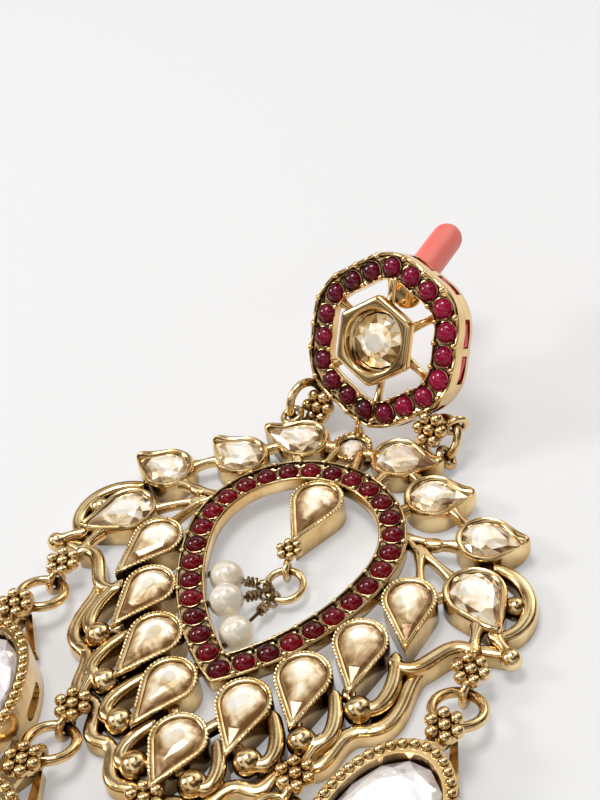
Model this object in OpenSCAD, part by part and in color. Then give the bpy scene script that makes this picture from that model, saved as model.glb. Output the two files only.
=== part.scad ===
// Crescent drop earring, lying face up: a round stud at +Y, an open garland below it and five oval drops.
// Millimetres. The garland's plan has its blunt ring tip at the plan origin; laid() moves the whole piece
// so that its bounding box stands centred on the origin. Everything is mirrored left and right of x = 0,
// apart from the tilted stud, the two links that hold it and the loose pearls.

/* [Ring of cabochons] */
// Radius of the ring's round upper part, on its centre line
ring_radius = 9.1; // [8.8:0.05:9.4]
// Radius of the two long side arcs that meet at the blunt tip
side_radius = 22; // [21:0.1:24]
// Height of the round part's centre above the tip, in plan
ring_rise = 15.5; // [15.2:0.05:15.8]
// Half width of the metal channel
ring_half = 1.32; // [1.25:0.01:1.4]
// Underside and top of the channel above the surface
ring_z = [1.4, 2.9];
// Radius of a ring cabochon
ruby_r = 1.0; // [0.9:0.01:1.02]
// Number of equal steps between cabochons from tip to top on one side
ring_steps = 15; // [15:1:15]

/* [Petals and leaves] */
// Height of the petals' and the pendant's walls
petal_top = 2.7; // [2.5:0.05:2.8]
// Height of the leaves' walls and of the wire scrolls
leaf_top = 2.3; // [2.1:0.05:2.4]
// Thickness of a petal's bezel at its outline
petal_wall = 0.5; // [0.45:0.01:0.6]
// Thickness of a leaf's bezel
leaf_wall = 0.55; // [0.5:0.01:0.6]
// Width of the scroll wire
wire_w = 1.1; // [1:0.05:1.2]
// Radius of the solid balls at the scrolls' ends
ball_r = 1.15; // [1.05:0.01:1.2]

/* [Flowers, bails and links] */
// Radius of a bead of a seven bead flower
bead_r = 0.56; // [0.5:0.01:0.57]
// Distance from a flower's middle bead to the beads round it
bead_pitch = 1.15; // [1.15:0.01:1.2]
// Radius of a bail's centre line and of its wire
bail = [0.97, 0.35];
// Radius of a drop link's centre line and of its wire
link = [2.1, 0.45];
// Distance between the flower of the garland and that of its drop
flower_gap = 6.9; // [6.8:0.05:7.1]

/* [Drops] */
// Height of a drop from the surface to its rim
drop_h = 4.8; // [4.5:0.1:5]
// Half length and half width of a drop's outside
drop_out = [8.45, 5.25];
// Half length and half width of its crystal opening
drop_open = [7.1, 4.2];
// Distance from a drop's centre to the middle of its flower
drop_reach = 10.7; // [10.6:0.1:11]
// Number of beads round a drop's rim
rim_beads = 44; // [36:1:46]
// Radius of a rim bead
rim_bead_r = 0.43; // [0.38:0.01:0.44]
// Number of windows round a drop's side
windows = 8; // [6:1:8]

/* [Stud] */
// Distance from the stud's centre to a flat side, on the line of its cabochons
stud_inradius = 6.85; // [6.6:0.05:7]
// Corner radius of that line
stud_corner = 4; // [3.5:0.1:4.5]
// Depth of the stud's halo
stud_depth = 3.05; // [2.8:0.05:3.3]
// Number of cabochons round the halo
stud_count = 19; // [17:1:19]
// Radius of a halo cabochon
stud_ruby_r = 1.03; // [0.95:0.01:1.05]
// Corner radius of the raised hexagon in the middle
hexagon_r = 4.6; // [4.4:0.05:4.8]
// Radius of the middle stone
stud_stone_r = 2.75; // [2.5:0.05:2.8]
// Radius of the ear post
post_r = 0.45; // [0.4:0.01:0.5]
// Radius of the soft sleeve over the post
sleeve_r = 1.65; // [1.4:0.05:1.8]
// Length from the pad to the centre of the sleeve's round end
post_reach = 11; // [10:0.1:12]

/* [Pearls] */
// Radius of a pearl
pearl_r = 1.6; // [1.5:0.01:1.6]
// Radius of the twisted wire that holds a pearl
pearl_wire_r = 0.17; // [0.14:0.01:0.18]

/* [Hidden] */

gold = "darkgoldenrod";
ruby = "crimson";
crystal = "ivory";
fit = 0.08;             // clearance round a stone in its seat
over = 0.2;             // how far a cutter runs past what it cuts
step = 0.05;            // each layer of metal stands this much inside the one below
fillet = 0.28;          // half the widest gap that solder closes
neck_side = 0.28;       // half width of a spoke under the stud

// Petals on the right from the top down, then the single one in the middle.
PX = 0; PY = 1; PR = 2; PTX = 3; PTY = 4;
petal = [ // x, y, outer radius, tip x, tip y
    [12.6, 12.1, 2.4, 14.2, 6.7],
    [10.3, 6.5, 2.4, 11.4, 1.1],
    [7.1, 1.7, 2.45, 8.3, -3.6],
    [3.5, -2.3, 2.4, 4.4, -7.5],
    [0, -7.2, 2.45, 0, -12.2]];
// Leaves on the right from the apex outwards: outline, curled tip and the tip of the stone.
leaf = [ // x, y, outer radius, tip x, tip y, stone tip x, stone tip y
    [5.1, 28.9, 2.75, 10.2, 29.5, 9.1, 28.7],
    [10.1, 24.9, 2.75, 14.4, 26.6, 13.6, 25.7],
    [16.5, 21.1, 2.75, 21.0, 22.0, 20.1, 21.2],
    [17.5, 14.9, 2.85, 21.3, 10.6, 20.5, 11.6]];
// Balls at the ends of the scrolls on the right.
ball = [[12.45, 0.55], [9.25, -3.7], [5.95, -6.9], [2.65, -10.15]];
outer_ball = [21.6, 14.8, 1.55]; // beside the outermost leaf
side_ball = [22.5, 9.3, 1.55];
side_ball_r = 0.8;
// Scroll wires on the right, each a curve through its control points.
scroll = [
    [[13.6, 6.0], [14.6, 3.6], [14.6, 0.6], [12.45, 0.55]],
    [[10.2, 0.9], [11.6, -1.6], [11.8, -4.2], [9.25, -3.7]],
    [[6.3, -2.6], [8.0, -4.8], [8.4, -7.4], [5.95, -6.9]],
    [[3.2, -6.6], [4.6, -8.6], [4.6, -11.0], [2.65, -10.15]],
    [[13.7, 5.6], [16.6, 4.6], [16.4, 9.9], [19.3, 8.9]],
    [[18.9, 18.9], [23.4, 17.6], [24.0, 13.0], [21.5, 11.4]]];
// Straight stems on the right, from, to and width.
stem = [
    [[19.3, 9.0], [19.9, 6.8], 1.3],
    [[18.9, 11.6], [19.3, 8.9], 1.2],
    [[20.6, 11.0], [22.4, 9.4], 1.1],
    [[10.6, -3.6], [10.3, -6.6], 1.3],
    [[9.4, 19.3], [12.4, 19.4], 1.1],
    [[12.0, 19.3], [14.4, 19.9], 1.1],
    [[9.4, 19.3], [11.6, 17.7], 1.0],
    [[11.4, 17.9], [12.8, 14.0], 1.0],
    [[11.4, 18.2], [15.3, 15.9], 1.0],
    [[12.2, 24.0], [14.3, 22.4], 1.1],
    [[9.25, -3.7], [8.2, -2.6], 1.1],
    [[12.45, 0.55], [11.2, 1.6], 1.1],
    [[5.95, -6.9], [4.6, -6.2], 1.1],
    [[2.65, -10.15], [1.0, -9.6], 1.1]];
// Short bridges on the right between the ring and what it carries.
bridge = [
    [[8.6, 12.3], [10.8, 12.2], 1.6],
    [[7.2, 7.9], [8.8, 7.1], 1.6],
    [[4.6, 4.3], [6.0, 2.9], 1.6],
    [[1.6, 0.8], [2.8, -1.0], 1.5],
    [[2.6, -3.8], [1.0, -6.0], 1.4],
    [[1.7, 25.0], [1.2, 28.4], 1.0],
    [[4.0, 24.2], [4.8, 27.2], 1.4],
    [[7.2, 21.6], [8.9, 23.6], 1.6],
    [[2.0, 28.9], [3.0, 28.8], 1.2],
    [[7.0, 27.6], [8.6, 26.4], 1.2],
    [[15.2, 13.9], [14.2, 13.2], 1.0]];
// Middle line of the scalloped gallery band on the right, as one curve for each scallop.
gallery = [
    [[22.0, 9.9], [19.6, 9.6], [17.6, 9.4], [16.0, 6.6]],
    [[16.0, 6.6], [14.4, 4.4], [17.0, 0.2], [13.4, -1.0]],
    [[13.4, -1.0], [11.0, -1.8], [12.8, -5.6], [10.0, -5.6]],
    [[10.0, -5.6], [7.6, -5.8], [9.2, -9.2], [6.6, -8.9]],
    [[6.6, -8.9], [4.2, -8.8], [5.4, -12.4], [2.6, -12.0]],
    [[2.6, -12.0], [1.4, -11.6], [0.8, -12.6], [0, -12.7]]];
gallery_w = 0.9;

apex = [0, 29.4];       // middle of the apex stone
apex_r = 2.05;          // outer radius of its collet
apex_stone_r = 1.45;
apex_top = 1.85;
thorn = [0, 31.32, 4.2]; // tip of the thorn above the apex
thorn_r = [0.42, 0.12]; // its radius at the foot and at the tip

side_flower = [19.95, 6.65];
lower_flower = [10.3, -7.05];
middle_flower = [0, -13.0];
flower_z = 2.4;         // height of a garland flower's beads
flower_base = [1.98, 2.35];
bail_z = 1.35;          // height of a bail's centre on the garland
bail_out = 1.6;         // distance of that centre from its flower
drop_flower_z = 4.1;
drop_flower_base = [3.45, 4.05];
drop_bail_z = 2.4;
drop_bail_out = flower_gap - bail_out - 2 * link[0] * cos(asin((drop_bail_z - bail_z) / (2 * link[0])));

// Drops from right to left: flower of the garland, direction to the drop, lean of the drop.
side_lean = 9;
lower_lean = -4;
drop_flower = [side_flower, lower_flower, middle_flower,
    [-lower_flower[0], lower_flower[1]], [-side_flower[0], side_flower[1]]];
drop_aim = [-88, -90, -90, -90, -92];
link_tilt = asin((drop_bail_z - bail_z) / (2 * link[0]));
leg_z = [0.4, 1.6];     // two legs run from a drop's back rim up to its bail
leg_foot = [2.2, 7.7];
drop_ledge = [2.75, 3.3];
rim_line = [7.95, 4.78];
window = [3.7, 1.55];   // length and height of a window in a drop's side
window_z = 1.85;
petal_ledge = 1.8;
leaf_ledge = 1.4;
apex_ledge = 0.95;
petal_stone_z = [1.45, 2.3, 2.66, 2.88]; // culet, girdle, star facets and table
leaf_stone_z = [1.05, 1.95, 2.34, 2.6];
apex_stone_z = [0.7, 1.35, 1.72, 1.95];
drop_stone_z = [2.6, 3.75, 4.45, 4.8];
ruby_z = 2.25;
stud_ruby_z = -0.65;
stud_stone_z = [-1.0, 0.25, 0.75, 1.05];
slot_z = -1.95;
hexagon_z = [0.8, 1.8];
cup = [-1.4, 2.75, 3.9]; // lower end of the cup under the hexagon, its radius there and at the hexagon
hexagon_mouth = [0.7, 3.35]; // depth and radius of the hexagon's flared opening
seat_drop = 0.75;        // height of the central stone's girdle above its seat
spoke_z = -1.4;
spoke = [2.6, 3.8, 0.6]; // start, length and height of a spoke from the cup to the halo
drop_lean = [side_lean, lower_lean, 0, -lower_lean, -side_lean];

pendant = [0, 20.9];    // middle of the round end of the inner pendant
pendant_r = 2.5;
pendant_tip = [0, 15.2];
pendant_flower = [0, 14.4];
pendant_bead_r = 0.43;
pendant_pitch = 0.88;
pendant_bail = [0.35, 12.85, 1.3];
pendant_bail_size = [0.8, 0.3];
pendant_link = [1.7, 0.35];
pendant_link_drop = 0.12; // how much lower the link's centre lies than the bail
pendant_link_turn = -73.7;
pearl = [[-4.45, 10.17, 1.6], [-2.98, 7.28, 2.15], [-0.7, 4.6, 1.6]];
pearl_at = [89, 119, 149]; // where each wire loops round the pendant's link, in degrees from its bail
pearl_bore_r = 0.27;
loop_r = 0.66;          // radius of a wire's loop round the link
coil_r = 0.37;          // radius of its turns round its own shank
coil_turns = 3;
coil_pitch = 0.38;

stud_place = [0.86, 36.98, 9.64];
stud_turn = [55.3, 0, -11.1];
stud_roll = 7.3;
halo_out = 1.5;         // halo's outer edge from its line of stones
halo_in = 1.2;
halo_plate = 1.1;       // thickness of the halo's face
halo_wall = 0.5;
stud_flower = [6.5, -7.8, -0.2];
neck_z = [-1.35, -0.8];  // the bar that joins the halo and a stud flower
stud_bead_r = 0.6;
stud_bead_pitch = 1.23;
stud_link = [2.1, 0.45];
hinge_bail = [1.0, 0.34]; // the bails that those two links hold
// The right and the left link: bail on the stud, in its frame, bail on the garland and what the link faces.
stud_bail = [[8.41, -7.2, -1.9], [-7.37, -7.53, -2.22]];
garland_bail = [[9.28, 31.01, 1.37], [-7.64, 31.86, 2.09]];
stud_link_face = [[0.441, 0.586, -0.68], [-0.895, 0.411, -0.175]];
pad = [0.6, 5.0];
pad_r = 1.7;
post_aim = [-0.101, 0.515, -0.851];
post_start = 0.8;       // along the post, from the stud's back
sleeve_start = 2.0;
slot = [2.7, 1.0];      // length and height of a side slot of the halo
slot_gap = 1.75;        // distance of a slot from the middle of its side
slot_back = 0.3;        // how far the side stones lie behind the wall's face
rib = [1.6, 0.8, 2.2];  // rib between the halo's face and the pad of the post
rib_y = 5.9;

round_n = 24;           // sides of a round outline
oval_n = 44;            // sides of a drop's outline

// Distance that centres the box: from the end of the middle drop to the end of the sleeve.
lowest_y = middle_flower[1] - flower_gap - drop_reach - drop_out[0];
sleeve_end = stud_point([pad[0], pad[1], -stud_depth] + post_reach * post_aim);
mid_y = (lowest_y + sleeve_end[1] + sleeve_r) / 2;

function unit(v) = v / norm(v);
function mirrored(p) = [-p[0], p[1]];
function turn_z(p, a) = [p[0] * cos(a) - p[1] * sin(a), p[0] * sin(a) + p[1] * cos(a), p[2]];
function turn_x(p, a) = [p[0], p[1] * cos(a) - p[2] * sin(a), p[1] * sin(a) + p[2] * cos(a)];
function stud_point(p) = stud_place + turn_z(turn_x(turn_z(p, stud_roll), stud_turn[0]), stud_turn[2]);

// Points of a curve with four control points.
function curve(c, n = 6) = [for (i = [0:n]) let (t = i / n, u = 1 - t)
    u * u * u * c[0] + 3 * u * u * t * c[1] + 3 * u * t * t * c[2] + t * t * t * c[3]];
// Pear outline: a circle drawn out to a point.
function pear(c, r, tip, n = 12) = let (d = tip - c, a = acos(r / norm(d)), g = atan2(d[1], d[0]))
    concat([tip], [for (i = [0:n]) let (t = g + a + i * (360 - 2 * a) / n) c + r * [cos(t), sin(t)]]);
// Ellipse with its long axis along y.
function oval(a, n = oval_n) = [for (i = [0:n - 1]) let (t = 360 * i / n) [a[1] * sin(t), a[0] * cos(t)]];

// Ring centre line: side arcs from the tip run tangent into the round part.
join_angle = asin((side_radius * side_radius - pow(side_radius - ring_radius, 2) - ring_rise * ring_rise)
    / (2 * ring_rise * (side_radius - ring_radius)));
side_centre = [0, ring_rise] + (side_radius - ring_radius) * [-cos(join_angle), sin(join_angle)];
tip_angle = atan2(-side_centre[1], -side_centre[0]);
side_length = side_radius * (-join_angle - tip_angle) * PI / 180;
half_length = side_length + ring_radius * (90 + join_angle) * PI / 180;
ring_pitch = half_length / ring_steps;
function ring_angle(s) = s < side_length
    ? tip_angle + s / side_radius * 180 / PI
    : -join_angle + (s - side_length) / ring_radius * 180 / PI;
// Point at length s from the tip on the right side, and d outside the centre line.
function ring_point(s, d = 0) = let (a = ring_angle(s), on_side = s < side_length)
    (on_side ? side_centre : [0, ring_rise]) + ((on_side ? side_radius : ring_radius) + d) * [cos(a), sin(a)];

// Halo line: a hexagon with a corner at the top and rounded corners, walked clockwise from the top.
hexagon_side = (stud_inradius - stud_corner) / cos(30);
corner_length = stud_corner * PI / 3;
side_period = corner_length + hexagon_side;
stud_pitch = 6 * side_period / stud_count;
function halo_angle(s) = let (q = s + corner_length / 2, k = floor(q / side_period), u = q - k * side_period)
    120 - 60 * k - min(u, corner_length) / stud_corner * 180 / PI;
function halo_point(s, d = 0) = let (q = s + corner_length / 2, k = floor(q / side_period),
    u = q - k * side_period, a = halo_angle(s))
    hexagon_side * [cos(90 - 60 * k), sin(90 - 60 * k)] + (stud_corner + d) * [cos(a), sin(a)]
    + max(0, u - corner_length) * [cos(-30 - 60 * k), sin(-30 - 60 * k)];

// Angles that set beads at equal distances round an ellipse.
function oval_speed(a, t) = norm([a[1] * cos(t), a[0] * sin(t)]) * PI / 180;
function oval_length(a, n = 180) = 360 / n * [for (i = [1:n]) oval_speed(a, 360 * i / n)] * [for (i = [1:n]) 1];
function oval_angles(a, count) = let (p = oval_length(a) / count)
    [for (i = 0, t = 0; i < count; t = t + p / oval_speed(a, t + p / 2 / oval_speed(a, t)), i = i + 1) t];

// Direct isometry that turns z to v.
module aimed(at, v) {
    translate(at) rotate([0, acos(v[2] / norm(v)), atan2(v[1], v[0])]) children();
}
module laid() { translate([0, -mid_y, 0]) children(); }
module both() { children(); mirror([1, 0]) children(); }
module both_solid() { children(); mirror([1, 0, 0]) children(); }
module stud_at() {
    translate(stud_place) rotate([0, 0, stud_turn[2]]) rotate([stud_turn[0], 0, 0]) rotate([0, 0, stud_roll])
        children();
}
// A drop's own frame: its centre on the surface, its flower up along y.
module drop_at(i) {
    at = drop_flower[i] + flower_gap * [cos(drop_aim[i]), sin(drop_aim[i])];
    translate([at[0], at[1], 0]) rotate([0, 0, -drop_lean[i]]) translate([0, -drop_reach, 0]) children();
}

module ring_loop(size) {
    rotate_extrude($fn = 48) translate([size[0], 0]) circle(r = size[1], $fn = 24);
}
module stroke(points, w) {
    for (i = [0:len(points) - 2]) bar(points[i], points[i + 1], w);
    for (p = points) translate(p) circle(d = w, $fn = 8);
}
module bar(a, b, w) {
    d = b - a;
    translate(a) rotate(atan2(d[1], d[0])) translate([0, -w / 2]) square([norm(d), w]);
}
// Closes narrow gaps between outlines, as solder does, and grows or shrinks the whole.
module soldered(grow = 0) {
    offset(delta = grow - fillet) offset(delta = fillet) children();
}
module ring_line() {
    polygon([for (i = [0:31]) ring_point(i * half_length / 32, 0), [0, ring_rise + ring_radius],
        for (i = [31:-1:1]) mirrored(ring_point(i * half_length / 32, 0))]);
}
module ring_outline() {
    difference() {
        offset(delta = ring_half) ring_line();
        offset(delta = -ring_half) ring_line();
    }
}
function petal_at(i) = petal[i < 5 ? i : 8 - i];
function side(i, middle) = i > middle ? -1 : 1;
function petal_centre(i) = [side(i, 4) * petal_at(i)[PX], petal_at(i)[PY]];
function petal_tip(i) = [side(i, 4) * petal_at(i)[PTX], petal_at(i)[PTY]];
function leaf_at(i) = leaf[i % 4];
function leaf_centre(i) = [side(i, 3) * leaf_at(i)[PX], leaf_at(i)[PY]];
function leaf_curl(i) = [side(i, 3) * leaf_at(i)[PTX], leaf_at(i)[PTY]];
function leaf_tip(i) = [side(i, 3) * leaf_at(i)[5], leaf_at(i)[6]];
// A stone's tip stands back from the bezel's.
function petal_stone_tip(i) = petal_tip(i) + 1.1 * unit(petal_centre(i) - petal_tip(i));
pendant_stone_tip = pendant_tip + 1.1 * unit(pendant - pendant_tip);

module petal_outlines() {
    for (i = [0:8]) polygon(pear(petal_centre(i), petal_at(i)[PR], petal_tip(i)));
    polygon(pear(pendant, pendant_r, pendant_tip));
}
module leaf_outlines() {
    for (i = [0:7]) {
        polygon(pear(leaf_centre(i), leaf_at(i)[PR], leaf_curl(i)));
        translate(leaf_curl(i)) circle(r = 0.45, $fn = 8);
    }
}
module scroll_outlines() {
    both() {
        for (c = scroll) stroke(curve(c), wire_w);
        for (s = stem) bar(s[0], s[1], s[2]);
    }
}
module bridge_outlines() {
    both() for (b = bridge) bar(b[0], b[1], b[2]);
}

// Garland: layers of metal, each a little inside the one below.
module low_outlines() {
    petal_outlines();
    leaf_outlines();
    translate(apex) circle(r = apex_r, $fn = round_n);
    both() for (g = gallery) stroke(curve(g, 4), gallery_w);
    both() for (c = scroll) stroke(curve(c), wire_w);
}
module middle_outlines() {
    petal_outlines();
    leaf_outlines();
    ring_outline();
    scroll_outlines();
    bridge_outlines();
    translate(apex) circle(r = apex_r, $fn = round_n);
}
module top_outlines() {
    petal_outlines();
    ring_outline();
}
module garland_layers() {
    linear_extrude(ring_z[0]) soldered() low_outlines();
    translate([0, 0, ring_z[0]]) linear_extrude(leaf_top - ring_z[0]) soldered(-step) middle_outlines();
    translate([0, 0, leaf_top]) linear_extrude(petal_top - leaf_top) soldered(-2 * step) top_outlines();
    translate([0, 0, petal_top]) linear_extrude(ring_z[1] - petal_top) offset(delta = -3 * step) ring_outline();
}
back_opening = 0.76;    // size of the opening behind a stone, as a share of the stone
function shrunk(loop, c, k) = [for (p = loop) c + k * (p - c)];
function petal_stone_outline(i) = pear(petal_centre(i), petal_at(i)[PR] - petal_wall, petal_stone_tip(i), 11);
function leaf_stone_outline(i) = pear(leaf_centre(i), leaf_at(i)[PR] - leaf_wall, leaf_tip(i), 11);

// A stone's seat: a pocket from the ledge up and a smaller opening through the back.
module seat(outline, centre, ledge, top) {
    translate([0, 0, ledge]) linear_extrude(top) offset(delta = fit) polygon(outline);
    translate([0, 0, -over]) linear_extrude(top) polygon(shrunk(outline, centre, back_opening));
}
module flower(at, z, base, r, pitch) {
    translate([at[0], at[1], z]) {
        sphere(r = r, $fn = 24);
        for (a = [0:60:300]) translate(pitch * [cos(a), sin(a), 0]) sphere(r = r, $fn = 24);
    }
    translate([at[0], at[1], base[0]]) cylinder(r = pitch + 0.35 * r, h = base[1] - base[0], $fn = 36);
}
module hanging_flower(at, aim) {
    flower(at, flower_z, flower_base, bead_r, bead_pitch);
    aimed([at[0] + bail_out * cos(aim), at[1] + bail_out * sin(aim), bail_z], [-sin(aim), cos(aim), 0])
        ring_loop(bail);
}

// Flower, bail and neck at the top of a drop, in the drop's frame.
module drop_hanger() {
    at = [0, drop_reach];
    flower(at, drop_flower_z, drop_flower_base, bead_r, bead_pitch);
    aimed([0, drop_reach + drop_bail_out, drop_bail_z], [1, 0, 0]) ring_loop(bail);
    translate([0, 0, drop_flower_base[0]]) linear_extrude(0.5) bar([0, drop_out[0] - 0.5], at, 1.6);
    translate([0, 0, leg_z[0]]) linear_extrude(leg_z[1] - leg_z[0]) both()
        polygon([[-0.05, 11.6], [0.55, 11.6], [leg_foot[0] + 0.5, leg_foot[1]],
            [leg_foot[0] - 0.4, leg_foot[1] - 0.4]]);
}
// Collet of a drop: crystal opening over a ledge, pierced side and open back.
module drop_collet() {
    difference() {
        linear_extrude(drop_h) polygon(oval(drop_out));
        translate([0, 0, drop_ledge[1]]) linear_extrude(drop_h) polygon(oval(drop_open));
        translate([0, 0, -over]) linear_extrude(drop_h) polygon(oval(drop_open - [0.55, 0.55]));
        translate([0, 0, -over]) linear_extrude(drop_ledge[0] + over) polygon(oval(drop_open + [0.2, 0.2]));
        for (t = oval_angles(drop_out, windows)) drop_window(t + 180 / windows);
    }
}
// Long oval window through the side at parameter t of the outline.
module drop_window(t) {
    translate([drop_out[1] * sin(t), drop_out[0] * cos(t), window_z])
        rotate([90, 0, atan2(drop_out[1] * cos(t), drop_out[0] * sin(t)) + 90])
            translate([0, 0, -1]) linear_extrude(3) offset(r = window[1] / 2, $fn = 12)
                square([window[0] - window[1], 0.02], center = true);
}
module drop_frame(i) {
    color(gold) laid() drop_at(i) {
        drop_collet();
        drop_hanger();
        for (t = oval_angles(rim_line, rim_beads))
            translate([rim_line[1] * sin(t), rim_line[0] * cos(t), drop_h]) sphere(r = rim_bead_r, $fn = 24);
    }
}

// Cut stone: level loops of equal count, each turned half a side from the last.
function level(loop, c, k, z) = [for (p = loop) let (q = c + k * (p - c)) [q[0], q[1], z]];
function halfway(loop) = let (n = len(loop)) [for (i = [0:n - 1]) (loop[i] + loop[(i + 1) % n]) / 2];
module cut_stone(loops) {
    n = len(loops[0]);
    last = len(loops) - 1;
    polyhedron(points = [for (l = loops, p = l) p], faces = concat(
        [[for (i = [0:n - 1]) i]],
        [for (k = [0:last - 1], i = [0:n - 1]) [k * n + i, (k + 1) * n + i, k * n + (i + 1) % n]],
        [for (k = [0:last - 1], i = [0:n - 1])
            [k * n + (i + 1) % n, (k + 1) * n + i, (k + 1) * n + (i + 1) % n]],
        [[for (i = [n - 1:-1:0]) last * n + i]]));
}
// Rose cut with a table: culet, girdle, a ring of star facets and the table.
module rose_cut(outline, c, z) {
    cut_stone([level(outline, c, 0.45, z[0]), level(outline, c, 1, z[1]), level(outline, c, 1, z[1] + 0.12),
        level(halfway(outline), c, 0.86, z[2]), level(outline, c, 0.56, z[3])]);
}
function circle_loop(r, n, turn = 0) = [for (i = [0:n - 1]) let (t = turn + 360 * i / n) r * [cos(t), -sin(t)]];
function clockwise(loop) = [for (i = [len(loop) - 1:-1:0]) loop[i]];

module petal_stone(i) {
    color(crystal) laid() rose_cut(clockwise(petal_stone_outline(i)), petal_centre(i), petal_stone_z);
}
module leaf_stone(i) {
    color(crystal) laid() rose_cut(clockwise(leaf_stone_outline(i)), leaf_centre(i), leaf_stone_z);
}
module apex_stone() {
    color(crystal) laid() rose_cut([for (p = circle_loop(apex_stone_r, 12)) apex + p], apex, apex_stone_z);
}
module pendant_stone() {
    color(crystal) laid() rose_cut(clockwise(pear(pendant, pendant_r - petal_wall, pendant_stone_tip, 11)),
        pendant, petal_stone_z);
}
module drop_stone(i) {
    color(crystal) laid() drop_at(i)
        rose_cut(oval(drop_open - [fit, fit], 20), [0, 0], drop_stone_z);
}

module cabochon(at, r = ruby_r) {
    translate([at[0], at[1], 0]) intersection() {
        cylinder(r = r, h = 1, $fn = 32);
        translate([0, 0, -0.4]) sphere(r = 1.4, $fn = 48);
    }
}
module ring_rubies() {
    color(ruby) laid() translate([0, 0, ruby_z]) for (i = [0:ring_steps]) {
        cabochon(ring_point(i * ring_pitch));
        if (i > 0 && i < ring_steps) cabochon(mirrored(ring_point(i * ring_pitch)));
    }
}
module body_frame() {
    color(gold) laid() {
        difference() {
            garland_layers();
            for (i = [0:8]) seat(petal_stone_outline(i), petal_centre(i), petal_ledge, petal_top);
            seat(pear(pendant, pendant_r - petal_wall, pendant_stone_tip, 11), pendant, petal_ledge, petal_top);
            for (i = [0:7]) seat(leaf_stone_outline(i), leaf_centre(i), leaf_ledge, leaf_top);
            ring_seats();
            translate([apex[0], apex[1], apex_ledge])
                cylinder(r = apex_stone_r + fit, h = petal_top, $fn = round_n);
            translate([apex[0], apex[1], -over]) cylinder(r = apex_stone_r - 0.35, h = petal_top, $fn = round_n);
            translate([apex[0], apex[1], apex_top]) cylinder(r = apex_r + 0.1, h = petal_top, $fn = round_n);
        }
        translate([thorn[0], thorn[1], apex_top - 0.8])
            cylinder(r1 = thorn_r[0], r2 = thorn_r[1], h = thorn[2] - apex_top + 0.8, $fn = 24);
        both_solid() {
            for (b = ball) translate([b[0], b[1], leaf_top - 0.85]) sphere(r = ball_r, $fn = 36);
            translate(outer_ball) sphere(r = ball_r, $fn = 36);
            translate(side_ball) sphere(r = side_ball_r, $fn = 36);
            hanging_flower(side_flower, drop_aim[0]);
            hanging_flower(lower_flower, drop_aim[1]);
        }
        hanging_flower(middle_flower, drop_aim[2]);
        flower(pendant_flower, flower_z, flower_base, pendant_bead_r, pendant_pitch);
        aimed(pendant_bail, [cos(pendant_link_turn + 90), sin(pendant_link_turn + 90), 0])
            ring_loop(pendant_bail_size);
        for (i = [0, 1]) aimed(garland_bail[i], link_tangent(i, garland_bail[i])) ring_loop(hinge_bail);
    }
}
module ring_seats() {
    for (i = [0:ring_steps], m = [0, 1]) if (m == 0 || (i > 0 && i < ring_steps)) {
        p = ring_point(i * ring_pitch);
        at = m == 0 ? p : mirrored(p);
        translate([at[0], at[1], ruby_z - 0.05]) cylinder(r = ruby_r + 0.04, h = 2, $fn = 32);
        translate([at[0], at[1], 0]) cylinder(r = 0.45, h = 3, $fn = 32);
    }
}
module pendant_link() {
    color(gold) laid() aimed(pendant_link_centre, pendant_link_normal) ring_loop(pendant_link);
}
module drop_link(i) {
    aim = drop_aim[i];
    at = drop_flower[i] + (bail_out + link[0] * cos(link_tilt)) * [cos(aim), sin(aim)];
    color(gold) laid() translate([at[0], at[1], (bail_z + drop_bail_z) / 2]) rotate([0, 0, aim])
        rotate([0, -link_tilt, 0]) ring_loop(link);
}
// Links between the stud and the garland: 0 is the right one, 1 the left one.
function stud_bail_at(i) = stud_point(stud_bail[i]);
function chord(i) = stud_bail_at(i) - garland_bail[i];
// The link's plane holds both bails and is turned about the line between them to face stud_link_face.
function link_side(i) = unit(cross(chord(i), stud_link_face[i]));
function stud_link_centre(i) = garland_bail[i] + chord(i) / 2
    + link_side(i) * sqrt(stud_link[0] * stud_link[0] - chord(i) * chord(i) / 4);
function stud_link_normal(i) = unit(cross(chord(i), link_side(i)));
function link_tangent(i, at) = cross(stud_link_normal(i), at - stud_link_centre(i));
module stud_link(i) {
    color(gold) laid() aimed(stud_link_centre(i), stud_link_normal(i)) ring_loop(stud_link);
}

// Twisted wires: a coil round the shank, a loop round the link, then straight through the pearl.
pendant_link_level = [cos(pendant_link_turn), sin(pendant_link_turn), 0];
pendant_link_centre = pendant_bail - [0, 0, pendant_link_drop]
    + sqrt(pow(pendant_link[0], 2) - pow(pendant_link_drop, 2)) * pendant_link_level;
link_ahead = unit(pendant_bail - pendant_link_centre);
link_across = unit(cross([0, 0, 1], link_ahead));
pendant_link_normal = cross(link_ahead, link_across);
function on_link(a) = pendant_link_centre + pendant_link[0] * (cos(a) * link_ahead + sin(a) * link_across);
function along_link(a) = -sin(a) * link_ahead + cos(a) * link_across;
function wire_path(i) = let (k = on_link(pearl_at[i]), u = unit(pearl[i] - k), w0 = along_link(pearl_at[i]),
    v = unit(cross(w0, u)), w = cross(u, v), reach = norm(pearl[i] - k), turns = coil_turns * 8)
    concat(
        [for (j = [turns:-1:1]) let (a = 45 + 45 * j)
            k + (loop_r + 0.12 + coil_pitch * j / 8) * u + coil_r * (cos(a) * v + sin(a) * w)],
        [for (j = [1:7]) let (a = 45 * j)
            k + loop_r * (cos(a) * u + sin(a) * v) + 0.38 * (1 - j / 8) * w],
        [k + loop_r * u, k + (reach - pearl_r) * u, k + (reach + pearl_r + 0.05) * u]);
function wire_head(i) = let (k = on_link(pearl_at[i]), u = unit(pearl[i] - k), reach = norm(pearl[i] - k))
    k + (reach + pearl_r + 0.2) * u;
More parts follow.
